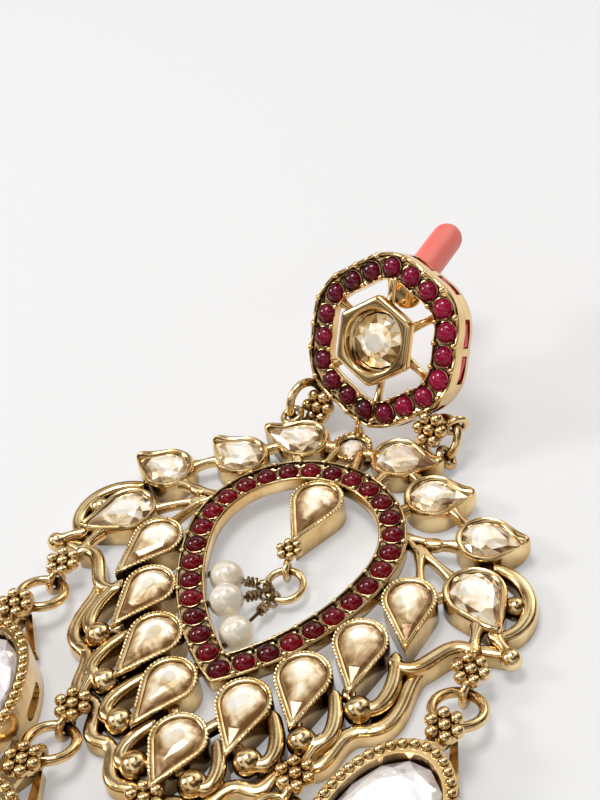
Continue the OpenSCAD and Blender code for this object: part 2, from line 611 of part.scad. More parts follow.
// Tube of even sides along a path, its rings turned from one to the next without twist.
function tangents(path) = let (n = len(path) - 1)
    [for (i = [0:n]) unit(path[min(i + 1, n)] - path[max(i - 1, 0)])];
function carried(normal, t) = unit(normal - (normal * t) * t);
function normals(ts) = [for (i = 0, m = carried([0.3, 0.2, 1], ts[0]); i < len(ts);
    i = i + 1, m = i < len(ts) ? carried(m, ts[i]) : m) m];
module tube(path, radii, sides = 6) {
    ts = tangents(path);
    ms = normals(ts);
    rings = [for (i = [0:len(path) - 1], j = [0:sides - 1]) let (a = 360 * j / sides)
        path[i] + radii[i] * (cos(a) * ms[i] + sin(a) * cross(ts[i], ms[i]))];
    last = (len(path) - 1) * sides;
    polyhedron(points = rings, faces = concat(
        [[for (j = [0:sides - 1]) j]],
        [for (i = [0:len(path) - 2], j = [0:sides - 1]) let (a = i * sides)
            [a + j, a + sides + j, a + (j + 1) % sides]],
        [for (i = [0:len(path) - 2], j = [0:sides - 1]) let (a = i * sides)
            [a + (j + 1) % sides, a + sides + j, a + sides + (j + 1) % sides]],
        [[for (j = [sides - 1:-1:0]) last + j]]));
}
module pearl_wire(i) {
    body = wire_path(i);
    n = len(body);
    path = concat(body, [body[n - 1] + 0.02 * unit(body[n - 1] - body[n - 2]), wire_head(i)]);
    radii = [for (j = [0:n + 1]) j < n ? pearl_wire_r : 0.34];
    color(gold) laid() tube(path, radii);
}
module pearl(i) {
    k = on_link(pearl_at[i]);
    color("whitesmoke") laid() difference() {
        translate(pearl[i]) sphere(r = pearl_r, $fn = 48);
        aimed(pearl[i], pearl[i] - k) translate([0, 0, -2 * pearl_r])
            cylinder(r = pearl_bore_r, h = 4 * pearl_r, $fn = 24);
    }
}

// Stud, in its own frame: its face is the plane z = 0, its top is towards y.
module halo_outline(d) {
    offset(r = stud_corner + d, $fn = 36) rotate(90) circle(r = hexagon_side, $fn = 6);
}
module halo() {
    difference() {
        translate([0, 0, -stud_depth]) linear_extrude(stud_depth) difference() {
            halo_outline(halo_out);
            halo_outline(-halo_in);
        }
        translate([0, 0, -stud_depth - over]) linear_extrude(stud_depth - halo_plate + over) difference() {
            halo_outline(halo_out - halo_wall);
            halo_outline(-halo_in - over);
        }
        for (i = [0:stud_count - 1]) {
            at = halo_point(i * stud_pitch);
            translate([at[0], at[1], stud_ruby_z - 0.05]) cylinder(r = stud_ruby_r + 0.04, h = 2, $fn = 32);
            translate([at[0], at[1], -2]) cylinder(r = 0.5, h = 3, $fn = 32);
        }
        for (i = [0:5], m = [-1, 1]) halo_slot(i, m) cube([slot[0], 3, slot[1]], center = true);
    }
}
// Place of a side slot: side i, before or after its middle, on the outer wall.
module halo_slot(i, m) {
    rotate(60 * i) translate([stud_inradius + halo_out - 0.1, m * slot_gap, slot_z]) rotate([0, 0, 90 + m * 8])
        children();
}
module hexagon_collet() {
    difference() {
        union() {
            translate([0, 0, hexagon_z[0]]) rotate(90)
                cylinder(r = hexagon_r, h = hexagon_z[1] - hexagon_z[0], $fn = 6);
            translate([0, 0, cup[0]]) cylinder(r1 = cup[1], r2 = cup[2], h = hexagon_z[0] + over - cup[0], $fn = 48);
        }
        translate([0, 0, cup[0] - over]) cylinder(r = stud_stone_r - 0.5, h = 5, $fn = 48);
        translate([0, 0, stud_stone_z[1] - seat_drop]) cylinder(r = stud_stone_r + fit, h = 5, $fn = 48);
        translate([0, 0, hexagon_z[1] - hexagon_mouth[0]])
            cylinder(r1 = stud_stone_r + fit, r2 = hexagon_mouth[1], h = hexagon_mouth[0] + 0.05, $fn = 48);
    }
}
module stud_frame() {
    color(gold) laid() {
        stud_at() {
            halo();
            hexagon_collet();
            for (a = [30:60:330]) rotate(a) translate([spoke[0], -neck_side, spoke_z])
                cube([spoke[1], 2 * neck_side, spoke[2]]);
            for (m = [-1, 1]) {
                at = [m * stud_flower[0], stud_flower[1]];
                flower(at, stud_flower[2], [-1.15, -0.3], stud_bead_r, stud_bead_pitch);
                translate([0, 0, neck_z[0]]) linear_extrude(neck_z[1] - neck_z[0]) bar(0.82 * at, at, 1.5);
            }
            translate([pad[0], pad[1], -stud_depth - 0.4]) cylinder(r = pad_r, h = 0.5, $fn = 48);
            translate([pad[0] - rib[0] / 2, rib_y, -stud_depth]) cube(rib);
        }
        for (i = [0, 1]) aimed(stud_bail_at(i), link_tangent(i, stud_bail_at(i))) ring_loop(hinge_bail);
    }
}
module stud_stone() {
    color("wheat") laid() stud_at() cut_stone([
        level(circle_loop(1, 16), [0, 0], 0.5, stud_stone_z[0]),
        level(circle_loop(1, 16), [0, 0], stud_stone_r, stud_stone_z[1]),
        level(circle_loop(1, 16), [0, 0], stud_stone_r, stud_stone_z[1] + 0.12),
        level(circle_loop(1, 16, 11.25), [0, 0], 0.84 * stud_stone_r, stud_stone_z[2]),
        level(circle_loop(1, 16), [0, 0], 0.54 * stud_stone_r, stud_stone_z[3])]);
}
module stud_rubies() {
    color(ruby) laid() stud_at() translate([0, 0, stud_ruby_z])
        for (i = [0:stud_count - 1]) cabochon(halo_point(i * stud_pitch), stud_ruby_r);
}
module stud_baguettes() {
    base = [[-1, -1], [-1, 1], [1, 1], [1, -1]];
    size = [slot[0] / 2 - fit, slot[1] / 2 - fit];
    color("red") laid() stud_at() for (i = [0:5], m = [-1, 1]) halo_slot(i, m) translate([0, slot_back, 0]) rotate([90, 0, 0])
        cut_stone([for (l = [[1, -0.32], [1, 0.1], [0.72, 0.28]])
            [for (p = base) [p[0] * (size[0] - 1 + l[0]), p[1] * size[1] * l[0], l[1]]]]);
}
module stud_post() {
    color("silver") laid() stud_at() aimed([pad[0], pad[1], -stud_depth], post_aim)
        translate([0, 0, post_start]) cylinder(r = post_r, h = post_reach - post_start - 1, $fn = 32);
}
module post_sleeve() {
    color("salmon") laid() stud_at() aimed([pad[0], pad[1], -stud_depth], post_aim) difference() {
        union() {
            translate([0, 0, sleeve_start]) cylinder(r = sleeve_r, h = post_reach - sleeve_start, $fn = 48);
            translate([0, 0, post_reach]) sphere(r = sleeve_r, $fn = 48);
        }
        cylinder(r = post_r + 0.05, h = post_reach, $fn = 32);
    }
}

stud_frame();
stud_stone();
stud_rubies();
stud_baguettes();
stud_post();
post_sleeve();
stud_link(0);  // stud_link_right
stud_link(1);  // stud_link_left
body_frame();
ring_rubies();
petal_stone(0);  // petal_stone_1
petal_stone(1);  // petal_stone_2
petal_stone(2);  // petal_stone_3
petal_stone(3);  // petal_stone_4
petal_stone(4);  // petal_stone_5
petal_stone(5);  // petal_stone_6
petal_stone(6);  // petal_stone_7
petal_stone(7);  // petal_stone_8
petal_stone(8);  // petal_stone_9
leaf_stone(0);  // leaf_stone_1
leaf_stone(1);  // leaf_stone_2
leaf_stone(2);  // leaf_stone_3
leaf_stone(3);  // leaf_stone_4
leaf_stone(4);  // leaf_stone_5
leaf_stone(5);  // leaf_stone_6
leaf_stone(6);  // leaf_stone_7
leaf_stone(7);  // leaf_stone_8
apex_stone();
pendant_stone();
pendant_link();
pearl(0);  // pearl_1
pearl(1);  // pearl_2
pearl(2);  // pearl_3
pearl_wire(0);  // pearl_wire_1
pearl_wire(1);  // pearl_wire_2
pearl_wire(2);  // pearl_wire_3
drop_frame(0);  // drop_frame_1
drop_frame(1);  // drop_frame_2
drop_frame(2);  // drop_frame_3
drop_frame(3);  // drop_frame_4
drop_frame(4);  // drop_frame_5
drop_stone(0);  // drop_stone_1
drop_stone(1);  // drop_stone_2
drop_stone(2);  // drop_stone_3
drop_stone(3);  // drop_stone_4
drop_stone(4);  // drop_stone_5
drop_link(0);  // drop_link_1
drop_link(1);  // drop_link_2
drop_link(2);  // drop_link_3
drop_link(3);  // drop_link_4
drop_link(4);  // drop_link_5
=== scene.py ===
import bmesh
import bpy
import math
import numpy as np
from mathutils import Matrix, Vector


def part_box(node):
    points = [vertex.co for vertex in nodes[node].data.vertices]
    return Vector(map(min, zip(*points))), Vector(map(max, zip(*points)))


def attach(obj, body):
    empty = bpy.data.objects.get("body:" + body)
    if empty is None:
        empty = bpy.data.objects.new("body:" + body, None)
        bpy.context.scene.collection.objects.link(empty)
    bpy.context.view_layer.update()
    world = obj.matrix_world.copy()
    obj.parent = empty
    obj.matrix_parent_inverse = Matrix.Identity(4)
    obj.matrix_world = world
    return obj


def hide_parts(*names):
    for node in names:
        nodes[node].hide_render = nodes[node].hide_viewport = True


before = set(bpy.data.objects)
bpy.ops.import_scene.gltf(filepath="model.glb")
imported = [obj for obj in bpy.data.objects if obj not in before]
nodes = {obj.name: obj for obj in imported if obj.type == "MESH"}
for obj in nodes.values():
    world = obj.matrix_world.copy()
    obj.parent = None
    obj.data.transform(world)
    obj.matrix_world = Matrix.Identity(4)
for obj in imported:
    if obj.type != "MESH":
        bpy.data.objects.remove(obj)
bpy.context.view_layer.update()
print("frame loaded,", len(nodes), "nodes")

mm = 0.001
tau = 2 * math.pi
# The plan's origin is the ring's blunt tip, and the middle drop ends at this y.
planEnd = -39.05
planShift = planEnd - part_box("drop_frame_3")[0].y / mm
print("plan shift", round(planShift, 4))


# Colours and finishes
def newMaterial(name):
    mat = bpy.data.materials.new(name)
    mat.use_nodes = True
    tree = mat.node_tree
    return mat, tree.nodes, tree.links, tree.nodes["Principled BSDF"]


def fill(node, values):
    for socket, value in values.items():
        node.inputs[socket].default_value = value
    return node


def ramp(tree, links, source, stops):
    node = tree.new("ShaderNodeValToRGB")
    marks = node.color_ramp.elements
    marks[0].position, marks[0].color = stops[0]
    marks[1].position, marks[1].color = stops[-1]
    for place, colour in stops[1:-1]:
        marks.new(place).color = colour
    links.new(source, node.inputs["Fac"])
    return node.outputs["Color"]


def noiseAt(tree, links, scale, detail=4.0, warp=0.0, space="Object"):
    where = tree.new("ShaderNodeTexCoord")
    noise = fill(tree.new("ShaderNodeTexNoise"), {"Scale": scale, "Detail": detail, "Distortion": warp})
    links.new(where.outputs[space], noise.inputs["Vector"])
    return noise.outputs["Fac"]


def ranged(tree, links, source, low, high, start=0.0, stop=1.0):
    limits = {"From Min": start, "From Max": stop, "To Min": low, "To Max": high}
    node = fill(tree.new("ShaderNodeMapRange"), limits)
    links.new(source, node.inputs["Value"])
    return node.outputs["Result"]


def multiplyAdd(tree, links, source, factor, added):
    node = fill(tree.new("ShaderNodeMath"), {1: factor})
    node.operation = "MULTIPLY_ADD"
    links.new(source, node.inputs[0])
    links.new(added, node.inputs[2])
    return node.outputs["Value"]


def fineBump(tree, links, shader, scale, strength, depth):
    bump = fill(tree.new("ShaderNodeBump"), {"Strength": strength, "Distance": depth * mm})
    links.new(noiseAt(tree, links, scale, 2.0), bump.inputs["Height"])
    links.new(bump.outputs["Normal"], shader.inputs["Normal"])
    return bump


def meshTone(tree, name):
    node = tree.new("ShaderNodeAttribute")
    node.attribute_name = name
    return node.outputs["Fac"]


goldLook = {
    "studGold": dict(
        bright=(0.95, 0.69, 0.34, 1), deep=(0.76, 0.48, 0.19, 1), recessShadeAndPatina=(0.05, 0.022, 0.008, 1),
        rough=(0.07, 0.14), grain=420, bump=0.02, worn=1.6),
    "garlandGold": dict(
        bright=(1.0, 0.76, 0.41, 1), deep=(0.68, 0.42, 0.15, 1), recessShadeAndPatina=(0.07, 0.027, 0.005, 1),
        rough=(0.13, 0.25), grain=380, bump=0.05, worn=2.2),
    "dropGold": dict(
        bright=(0.91, 0.66, 0.33, 1), deep=(0.70, 0.45, 0.18, 1), recessShadeAndPatina=(0.08, 0.04, 0.014, 1),
        rough=(0.13, 0.24), grain=300, bump=0.04, worn=1.8)}
# The corner ramp turns occlusion into painted shade together with the patina in the hollows.
patina = dict(deepAt=0.30, brightAt=0.62, fine=9, depth=0.1, solder=0.07,
              corners=[(0.10, (0, 0, 0, 1)), (0.45, (0.55, 0.55, 0.55, 1)), (0.85, (1, 1, 1, 1))])


def makeGold(name, look):
    mat, tree, links, shader = newMaterial(name)
    broad = noiseAt(tree, links, look["grain"])
    tone = ramp(tree, links, broad, [(patina["deepAt"], look["deep"]), (patina["brightAt"], look["bright"])])
    corner = tree.new("ShaderNodeAmbientOcclusion")  # darker patina and painted shade deep in the corners
    corner.samples = 6
    # how far into the hollows the patina and the painted shade reach
    fill(corner, {"Distance": look["worn"] * mm})
    mix = tree.new("ShaderNodeMix")
    mix.data_type = "RGBA"
    fill(mix, {6: look["recessShadeAndPatina"]})  # sockets 6, 7 and 2 are the colour ones
    links.new(ramp(tree, links, corner.outputs["AO"], patina["corners"]), mix.inputs[0])
    links.new(tone, mix.inputs[7])
    links.new(mix.outputs[2], shader.inputs["Base Color"])
    fill(shader, {"Metallic": 1.0})
    links.new(ranged(tree, links, broad, *look["rough"]), shader.inputs["Roughness"])
    soft = tree.new("ShaderNodeBevel")  # solder softens the inner corners
    soft.samples = 4
    fill(soft, {"Radius": patina["solder"] * mm})
    bump = fineBump(tree, links, shader, look["grain"] * patina["fine"], look["bump"], patina["depth"])
    links.new(soft.outputs["Normal"], bump.inputs["Normal"])
    return mat


studGold, garlandGold, dropGold = [makeGold(name, look) for name, look in goldLook.items()]

rubyLook = {
    "ringRuby": dict(dark=(0.016, 0.0, 0.0, 1), light=(0.46, 0.005, 0.020, 1),
                     rough=0.04, through=0.5, gloss=0.40, lit=0.0),
    "studRuby": dict(dark=(0.018, 0.0, 0.0, 1), light=(0.78, 0.010, 0.115, 1),
                     rough=0.035, through=0.5, gloss=0.55, lit=0.0),
    "baguetteRed": dict(dark=(0.28, 0.0, 0.003, 1), light=(0.92, 0.010, 0.032, 1),
                        rough=0.03, through=0.0, gloss=0.5, lit=0.30)}
# Painted light: a stone's colour is lighter on its glow side, away from the window, as if light gathered
# inside it.
rubyBody = dict(cloud=620, cloudShare=0.5, paintedGlowSide=(0.62, -0.66, 0.42), paintedGlowShare=0.38, darkAt=0.22,
                silk=3000, silkSize=0.03, silkDepth=0.05)


def makeRuby(name, look):
    mat, tree, links, shader = newMaterial(name)
    cloud = noiseAt(tree, links, rubyBody["cloud"], 3.0)
    # no two stones quite alike
    cloudy = multiplyAdd(tree, links, cloud, rubyBody["cloudShare"], meshTone(tree, "stoneTone"))
    # painted glow: the colour brightens where the surface faces the glow side
    facing = tree.new("ShaderNodeNewGeometry")
    towards = fill(tree.new("ShaderNodeVectorMath"), {1: rubyBody["paintedGlowSide"]})
    towards.operation = "DOT_PRODUCT"
    links.new(facing.outputs["Normal"], towards.inputs[0])
    glow = multiplyAdd(tree, links, towards.outputs["Value"], rubyBody["paintedGlowShare"], cloudy)
    tone = ramp(tree, links, glow, [(rubyBody["darkAt"], look["dark"]), (1.0, look["light"])])
    links.new(tone, shader.inputs["Base Color"])
    links.new(tone, shader.inputs["Emission Color"])  # painted glow, as of light that comes through from behind
    fineBump(tree, links, shader, rubyBody["silk"], rubyBody["silkSize"], rubyBody["silkDepth"])
    fill(shader, {"Emission Strength": look["lit"], "Roughness": look["rough"],
                  "Specular IOR Level": look["gloss"], "Transmission Weight": look["through"]})
    return mat


ringRuby, studRuby, baguetteRed = [makeRuby(name, look) for name, look in rubyLook.items()]

# Each facet of a stone carries a tone; the ramp turns it into painted reflection, the colour that its foil
# throws back, from painted shade to painted highlight.
crystalLook = {
    "petalCrystal": dict(cloud=0.34, metal=0.35, rough=0.09, lit=0.23, tones=[
        (0.0, (0.22, 0.11, 0.04, 1)), (0.30, (0.50, 0.32, 0.15, 1)), (0.52, (0.80, 0.61, 0.36, 1)),
        (0.76, (0.98, 0.86, 0.63, 1)), (1.0, (1.0, 0.97, 0.88, 1))]),
    "leafCrystal": dict(cloud=0.40, metal=0.40, rough=0.07, lit=0.17, tones=[
        (0.0, (0.20, 0.11, 0.05, 1)), (0.3, (0.54, 0.37, 0.20, 1)), (0.58, (0.91, 0.75, 0.50, 1)),
        (1.0, (1.0, 0.96, 0.89, 1))]),
    "dropCrystal": dict(cloud=0.30, metal=0.35, rough=0.06, lit=0.14, tones=[
        (0.0, (0.34, 0.28, 0.24, 1)), (0.3, (0.58, 0.54, 0.56, 1)), (0.6, (0.92, 0.89, 0.90, 1)),
        (1.0, (1.0, 0.99, 0.98, 1))]),
    "champagneCrystal": dict(cloud=0.20, metal=0.5, rough=0.04, lit=0.22, tones=[
        (0.0, (0.18, 0.10, 0.03, 1)), (0.3, (0.66, 0.46, 0.20, 1)), (0.6, (0.96, 0.80, 0.52, 1)),
        (1.0, (1.0, 0.95, 0.84, 1))])}
crystalBody = dict(cloud=520, warp=1.2, cloudRange=(0.3, 0.7), brighter=0.6, wear=(0.5, 2.0), coat=0.6,
                   coatRough=0.02)


def makeCrystal(name, look):
    mat, tree, links, shader = newMaterial(name)
    cloud = noiseAt(tree, links, crystalBody["cloud"], 2.0, crystalBody["warp"])
    uneven = ranged(tree, links, cloud, -look["cloud"], crystalBody["brighter"] * look["cloud"],
                    *crystalBody["cloudRange"])  # uneven light inside each facet
    total = multiplyAdd(tree, links, meshTone(tree, "facetTone"), 1.0, uneven)
    tone = ramp(tree, links, total, look["tones"])
    links.new(tone, shader.inputs["Base Color"])
    links.new(tone, shader.inputs["Emission Color"])  # painted glow, as of light that the foil throws back
    fill(shader, {"Emission Strength": look["lit"], "Metallic": look["metal"],
                  "Coat Weight": crystalBody["coat"], "Coat Roughness": crystalBody["coatRough"]})
    smooth, worn = crystalBody["wear"]
    wear = ranged(tree, links, cloud, smooth * look["rough"], worn * look["rough"])
    links.new(wear, shader.inputs["Roughness"])
    return mat


petalCrystal, leafCrystal, dropCrystal, champagneCrystal = [
    makeCrystal(name, look) for name, look in crystalLook.items()]

plainLook = {
    "pearlNacre": dict(
        light=(1.0, 0.95, 0.83, 1), dark=(0.95, 0.84, 0.66, 1), grain=260, bump=0.04,
        sockets={"Roughness": 0.16, "Metallic": 0.12, "Coat Weight": 1.0, "Coat Roughness": 0.04}),
    "coralSilicone": dict(
        light=(1.0, 0.23, 0.18, 1), dark=(0.96, 0.19, 0.15, 1), grain=300, bump=0.08,
        sockets={"Roughness": 0.45, "Subsurface Weight": 0.25, "Subsurface Scale": 0.6 * mm,
                 "Coat Weight": 0.08}),
    "postSteel": dict(
        light=(0.72, 0.72, 0.72, 1), dark=(0.55, 0.55, 0.56, 1), grain=500, bump=0.05,
        sockets={"Roughness": 0.25, "Metallic": 1.0}),
    "wireGold": dict(
        light=(0.52, 0.38, 0.21, 1), dark=(0.22, 0.14, 0.07, 1), grain=700, bump=0.05,
        sockets={"Roughness": 0.28, "Metallic": 1.0})}
plainBody = dict(darkAt=0.3, lightAt=0.7, fine=12, depth=0.05)


def makePlain(name, look):
    mat, tree, links, shader = newMaterial(name)
    tone = ramp(tree, links, noiseAt(tree, links, look["grain"], 3.0),
                [(plainBody["darkAt"], look["dark"]), (plainBody["lightAt"], look["light"])])
    links.new(tone, shader.inputs["Base Color"])
    fineBump(tree, links, shader, look["grain"] * plainBody["fine"], look["bump"], plainBody["depth"])
    fill(shader, look["sockets"])
    return mat


pearlNacre, coralSilicone, postSteel, wireGold = [makePlain(name, look) for name, look in plainLook.items()]
print("materials made")

# Points and outlines: everything in millimetres of the plan until it becomes an object
right, left = np.array([1.0, 1.0]), np.array([-1.0, 1.0])  # a place times one of these lies on that side


def heading(a):
    return np.stack([np.cos(a), np.sin(a)], -1)


def roundLoop(n):
    return heading(np.arange(n) * tau / n)


def raised(loop, z):
    return np.column_stack([loop, np.broadcast_to(z, (len(loop),))])


def between(a, b, k):
    return a + (b - a) * k


def unit(v):
    return v / np.linalg.norm(v)


def bezier(c, n=26):
    c = np.asarray(c, float)
    t = np.linspace(0, 1, n)[:, None]
    return (1 - t) ** 3 * c[0] + 3 * (1 - t) ** 2 * t * c[1] + 3 * (1 - t) * t * t * c[2] + t ** 3 * c[3]


# A circle and the two lines that touch it from the tip
def pearLine(c, r, tip, n=60):
    half = math.acos(r / np.linalg.norm(tip - c))
    start = math.atan2(tip[1] - c[1], tip[0] - c[0]) + half
    return np.vstack([tip, c + r * heading(start + np.linspace(0, tau - 2 * half, n))])


# The same outline as points at even angles round a centre, the first towards the tip
def fromCentre(line, c, tip, n=96):
    tiny, slack = 1e-12, 1e-9
    p = line - c
    e = np.roll(p, -1, 0) - p
    start = math.atan2(tip[1] - c[1], tip[0] - c[0])
    out = []
    for k in range(n):
        d = heading(start + tau * k / n)
        det = d[0] * e[:, 1] - d[1] * e[:, 0]
        det = np.where(abs(det) < tiny, tiny, det)
        r = (p[:, 0] * e[:, 1] - p[:, 1] * e[:, 0]) / det
        u = (p[:, 0] * d[1] - p[:, 1] * d[0]) / det
        hit = r[(u >= -slack) & (u <= 1 + slack) & (r > 0)]
        out.append(c + d * hit.max())
    return np.array(out)


wallEnd = np.array([0.4, 0.75, 0.94, 0.995])  # steps of a wall's round end, as shares of half its width
# A wall's section: share of half its width, and drop from the top as a share of the crown; None is the foot
wallSection = [(-1, None), (-1, 1.0), (-0.95, 0.66), (-0.80, 0.32), (-0.5, 0.09), (0, 0.0),
               (0.5, 0.09), (0.80, 0.32), (0.95, 0.66), (1, 1.0), (1, None)]


class Build:
    def __init__(self):
        self.points, self.faces, self.count = [], [], 0

    def add(self, points, faces):
        points = np.asarray(points, float).reshape(-1, 3)
        self.points.append(points)
        self.faces.extend([tuple(self.count + k for k in f) for f in faces])
        self.count += len(points)

    def skin(self, loops, closed=True, caps=False):
        n, last = len(loops[0]), len(loops)
        faces = []
        for k in range(last if closed else last - 1):
            a, b = k * n, ((k + 1) % last) * n
            for i in range(n):
                j = (i + 1) % n
                faces.append((a + i, a + j, b + j, b + i))
        if caps:
            faces.append(tuple(range(n - 1, -1, -1)))
            faces.append(tuple((last - 1) * n + i for i in range(n)))
        self.add(np.vstack(loops), faces)

    def ball(self, at, r, seg, rings, flat=1.0):
        at = np.asarray(at, float)
        start = self.count
        loops = []
        for k in range(rings - 1, 0, -1):
            t = math.pi * k / rings
            loops.append(raised(r * math.sin(t) * roundLoop(seg), flat * r * math.cos(t)) + at)
        self.skin(loops, closed=False)
        upper, top = start + (rings - 2) * seg, self.count
        self.add([at + (0, 0, flat * r), at - (0, 0, flat * r)], [])
        for i in range(seg):
            j = (i + 1) % seg
            self.faces.append((upper + i, upper + j, top))
            self.faces.append((start + j, start + i, top + 1))

    def tube(self, path, radius, sides, closed=False, lobes=0, depth=0.0, pitch=1.0):
        path = np.asarray(path, float)
        n = len(path)
        tangent = np.roll(path, -1, 0) - np.roll(path, 1, 0) if closed else np.gradient(path, axis=0)
        tangent /= np.linalg.norm(tangent, axis=1)[:, None]
        radius = np.broadcast_to(np.asarray(radius, float), (n,))
        m = unit(np.cross(tangent[0], (0.31, 0.22, 0.93)))  # no tube starts in this direction
        frames = []
        for t in tangent:
            m = unit(m - (m @ t) * t)
            frames.append(m)
        frames = np.array(frames)
        other = np.cross(tangent, frames)
        turn = np.zeros(n)
        if closed:  # spread what the frame turned by over the whole loop
            end = frames[-1] - (frames[-1] @ tangent[0]) * tangent[0]
            turn = -math.atan2(end @ other[0], end @ frames[0]) * np.arange(n) / n
        run = np.concatenate([[0], np.cumsum(np.linalg.norm(np.diff(path, axis=0), axis=1))])
        if closed and lobes:
            whole = run[-1] + np.linalg.norm(path[0] - path[-1])
            pitch = whole / round(whole / pitch)
        loops = []
        for k in range(n):
            a = np.arange(sides) * tau / sides + turn[k]
            r = np.full(sides, radius[k])
            if lobes:
                r = r * (1 + depth * np.cos(lobes * a - tau * run[k] / pitch))
            loops.append(path[k] + (r * np.cos(a))[:, None] * frames[k] + (r * np.sin(a))[:, None] * other[k])
        self.skin(loops, closed=closed, caps=not closed)

    def torus(self, at, axis, ring, wire, n=40, sides=12):
        axis = unit(np.asarray(axis, float))
        u = unit(np.cross(axis, (0.3, 0.5, 0.81)))
        v = np.cross(axis, u)
        circle = ring * roundLoop(n)
        self.tube(np.asarray(at) + circle[:, :1] * u + circle[:, 1:] * v, wire, sides, closed=True)

    # A wall with a rounded top that follows a line in the plan; its ends are round.
    def wall(self, line, width, low, high, crown):
        width = np.broadcast_to(np.asarray(width, float), (len(line),))
        t = np.gradient(line, axis=0)
        t /= np.linalg.norm(t, axis=1)[:, None]
        first, last = width[0], width[-1]
        line = np.vstack([line[0] - t[0] * (first / 2 * wallEnd[::-1, None]), line,
                          line[-1] + t[-1] * (last / 2 * wallEnd[:, None])])
        shrink = np.sqrt(1 - wallEnd ** 2)
        width = np.concatenate([first * shrink[::-1], width, last * shrink])
        t = np.vstack([np.repeat(t[:1], len(wallEnd), 0), t, np.repeat(t[-1:], len(wallEnd), 0)])
        across = np.stack([-t[:, 1], t[:, 0]], 1)
        section = [(u, low if drop is None else high - drop * crown * first / 2) for u, drop in wallSection]
        loops = []
        for p, n, w in zip(line, across, width):
            loops.append(np.array([(*(p + n * u * w / 2), z) for u, z in section]))
        self.skin(loops, closed=False, caps=True)

    def moved(self, matrix):
        for k, p in enumerate(self.points):
            self.points[k] = p @ matrix[:3, :3].T + matrix[:3, 3]
        return self

    def make(self, name, material, slot="antique_gold", replaced=(), sharp=38, tones=None,
             toneName="facetTone"):
        points = np.vstack(self.points)
        points[:, 1] -= planShift
        mesh = bpy.data.meshes.new(name)
        mesh.from_pydata((points * mm).tolist(), [], self.faces)
        shell = bmesh.new()
        shell.from_mesh(mesh)
        bmesh.ops.recalc_face_normals(shell, faces=shell.faces)
        shell.to_mesh(mesh)
        shell.free()
        mesh.materials.append(material)
        if tones is not None:
            domain = "POINT" if len(tones) == len(points) else "FACE"
            values = mesh.attributes.new(toneName, "FLOAT", domain).data
            values.foreach_set("value", np.array(tones, np.float32))
        mesh.shade_smooth()
        mesh.set_sharp_from_angle(angle=math.radians(sharp))
        piece = bpy.data.objects.new(name, mesh)
        bpy.context.scene.collection.objects.link(piece)
        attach(piece, "root")
        if replaced:
            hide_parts(*replaced)
        mesh.calc_loop_triangles()
        print("made", name, len(mesh.loop_triangles), "triangles")


# Petals and pendant: centre, radius and tip, for the right side and the middle
petalTable = [((12.6, 12.1), 2.4, (14.2, 6.7)), ((10.3, 6.5), 2.4, (11.4, 1.1)),
              ((7.1, 1.7), 2.45, (8.3, -3.6)), ((3.5, -2.3), 2.4, (4.4, -7.5)), ((0, -7.2), 2.45, (0, -12.2))]
pendantPear = ((0, 20.9), 2.5, (0, 15.2))
petalLook = dict(top=2.7, wall=0.45, ledge=1.8, lip=0.975, crown=0.0, tipBack=1.0)
# The rope on a rim: how far inside the outline it starts, and how far it is drawn to the centre
ropeLook = dict(wire=0.125, below=0.06, depth=0.32, pitch=0.38, points=260, petal=(0.05, 0.02),
                pendant=(0.04, 0.0))
# Leaves: centre, radius, hooked tip and the stone's tip, from the apex down
leafTable = [
    ((5.1, 28.9), 2.75, (10.2, 29.5), (9.1, 28.7)), ((10.1, 24.9), 2.75, (14.4, 26.6), (13.6, 25.7)),
    ((16.5, 21.1), 2.75, (21.0, 22.0), (20.1, 21.2)), ((17.5, 14.9), 2.85, (21.3, 10.6), (20.5, 11.6))]
leafLook = dict(top=2.3, wall=0.62, ledge=1.4, lip=0.975, crown=0.10, tipRise=0.50, tipRun=1.2,
                underRise=1.35, blunt=0.55)


def pearAt(side, c, r, tip):
    c, tip = c * side, tip * side
    return c, r, tip, tip + petalLook["tipBack"] * unit(c - tip)


pears = ([pearAt(right, *row) for row in petalTable] + [pearAt(left, *row) for row in petalTable[-2::-1]]
         + [pearAt(right, *pendantPear)])
pendantPlace = len(pears) - 1
leafPlaces = [(c * side, r, curl * side, tip * side)
              for side in (right, left) for c, r, curl, tip in leafTable]


# The outline of the stone in a petal or leaf
def stoneLine(look, c, r, stoneTip, towards, n=96):
    return fromCentre(pearLine(c, r - look["wall"], stoneTip), c, towards, n)


# A collet's section runs up the outer wall, over the rim and down to the ledge. Lift raises the rim at the
# tip, and under raises the foot there.
def collet(build, outer, inner, c, look, lift=0.0, under=0.0):
    top, ledge, lip, crown = look["top"], look["ledge"], look["lip"], look["crown"]
    loops = [raised(outer, under), raised(outer, 0.5 * top + 0.6 * under)]
    # the rim: how far in from the outer line, height over the top and share of the lift
    over = ((0.0, -0.36, 1.0), (0.05, -0.18, 1.0), (0.18, -0.05, 1.0), (0.38, crown, 0.9), (0.66, crown, 0.6),
            (0.9, -0.03, 0.3))
    loops += [raised(between(outer, inner, inwards), top + above + share * lift)
              for inwards, above, share in over]
    # the inside: size against the stone, and height
    inside = ((lip + 0.01, top - 0.10 + 0.2 * lift), (lip, top - 0.16), (1.0, top - 0.24), (1.02, ledge),
              (0.80, ledge - 0.05), (0.77, 0.1 + 0.3 * under), (0.80, 0.3 * under))
    loops += [raised(between(c, inner, size), z) for size, z in inside]
    build.skin(loops)


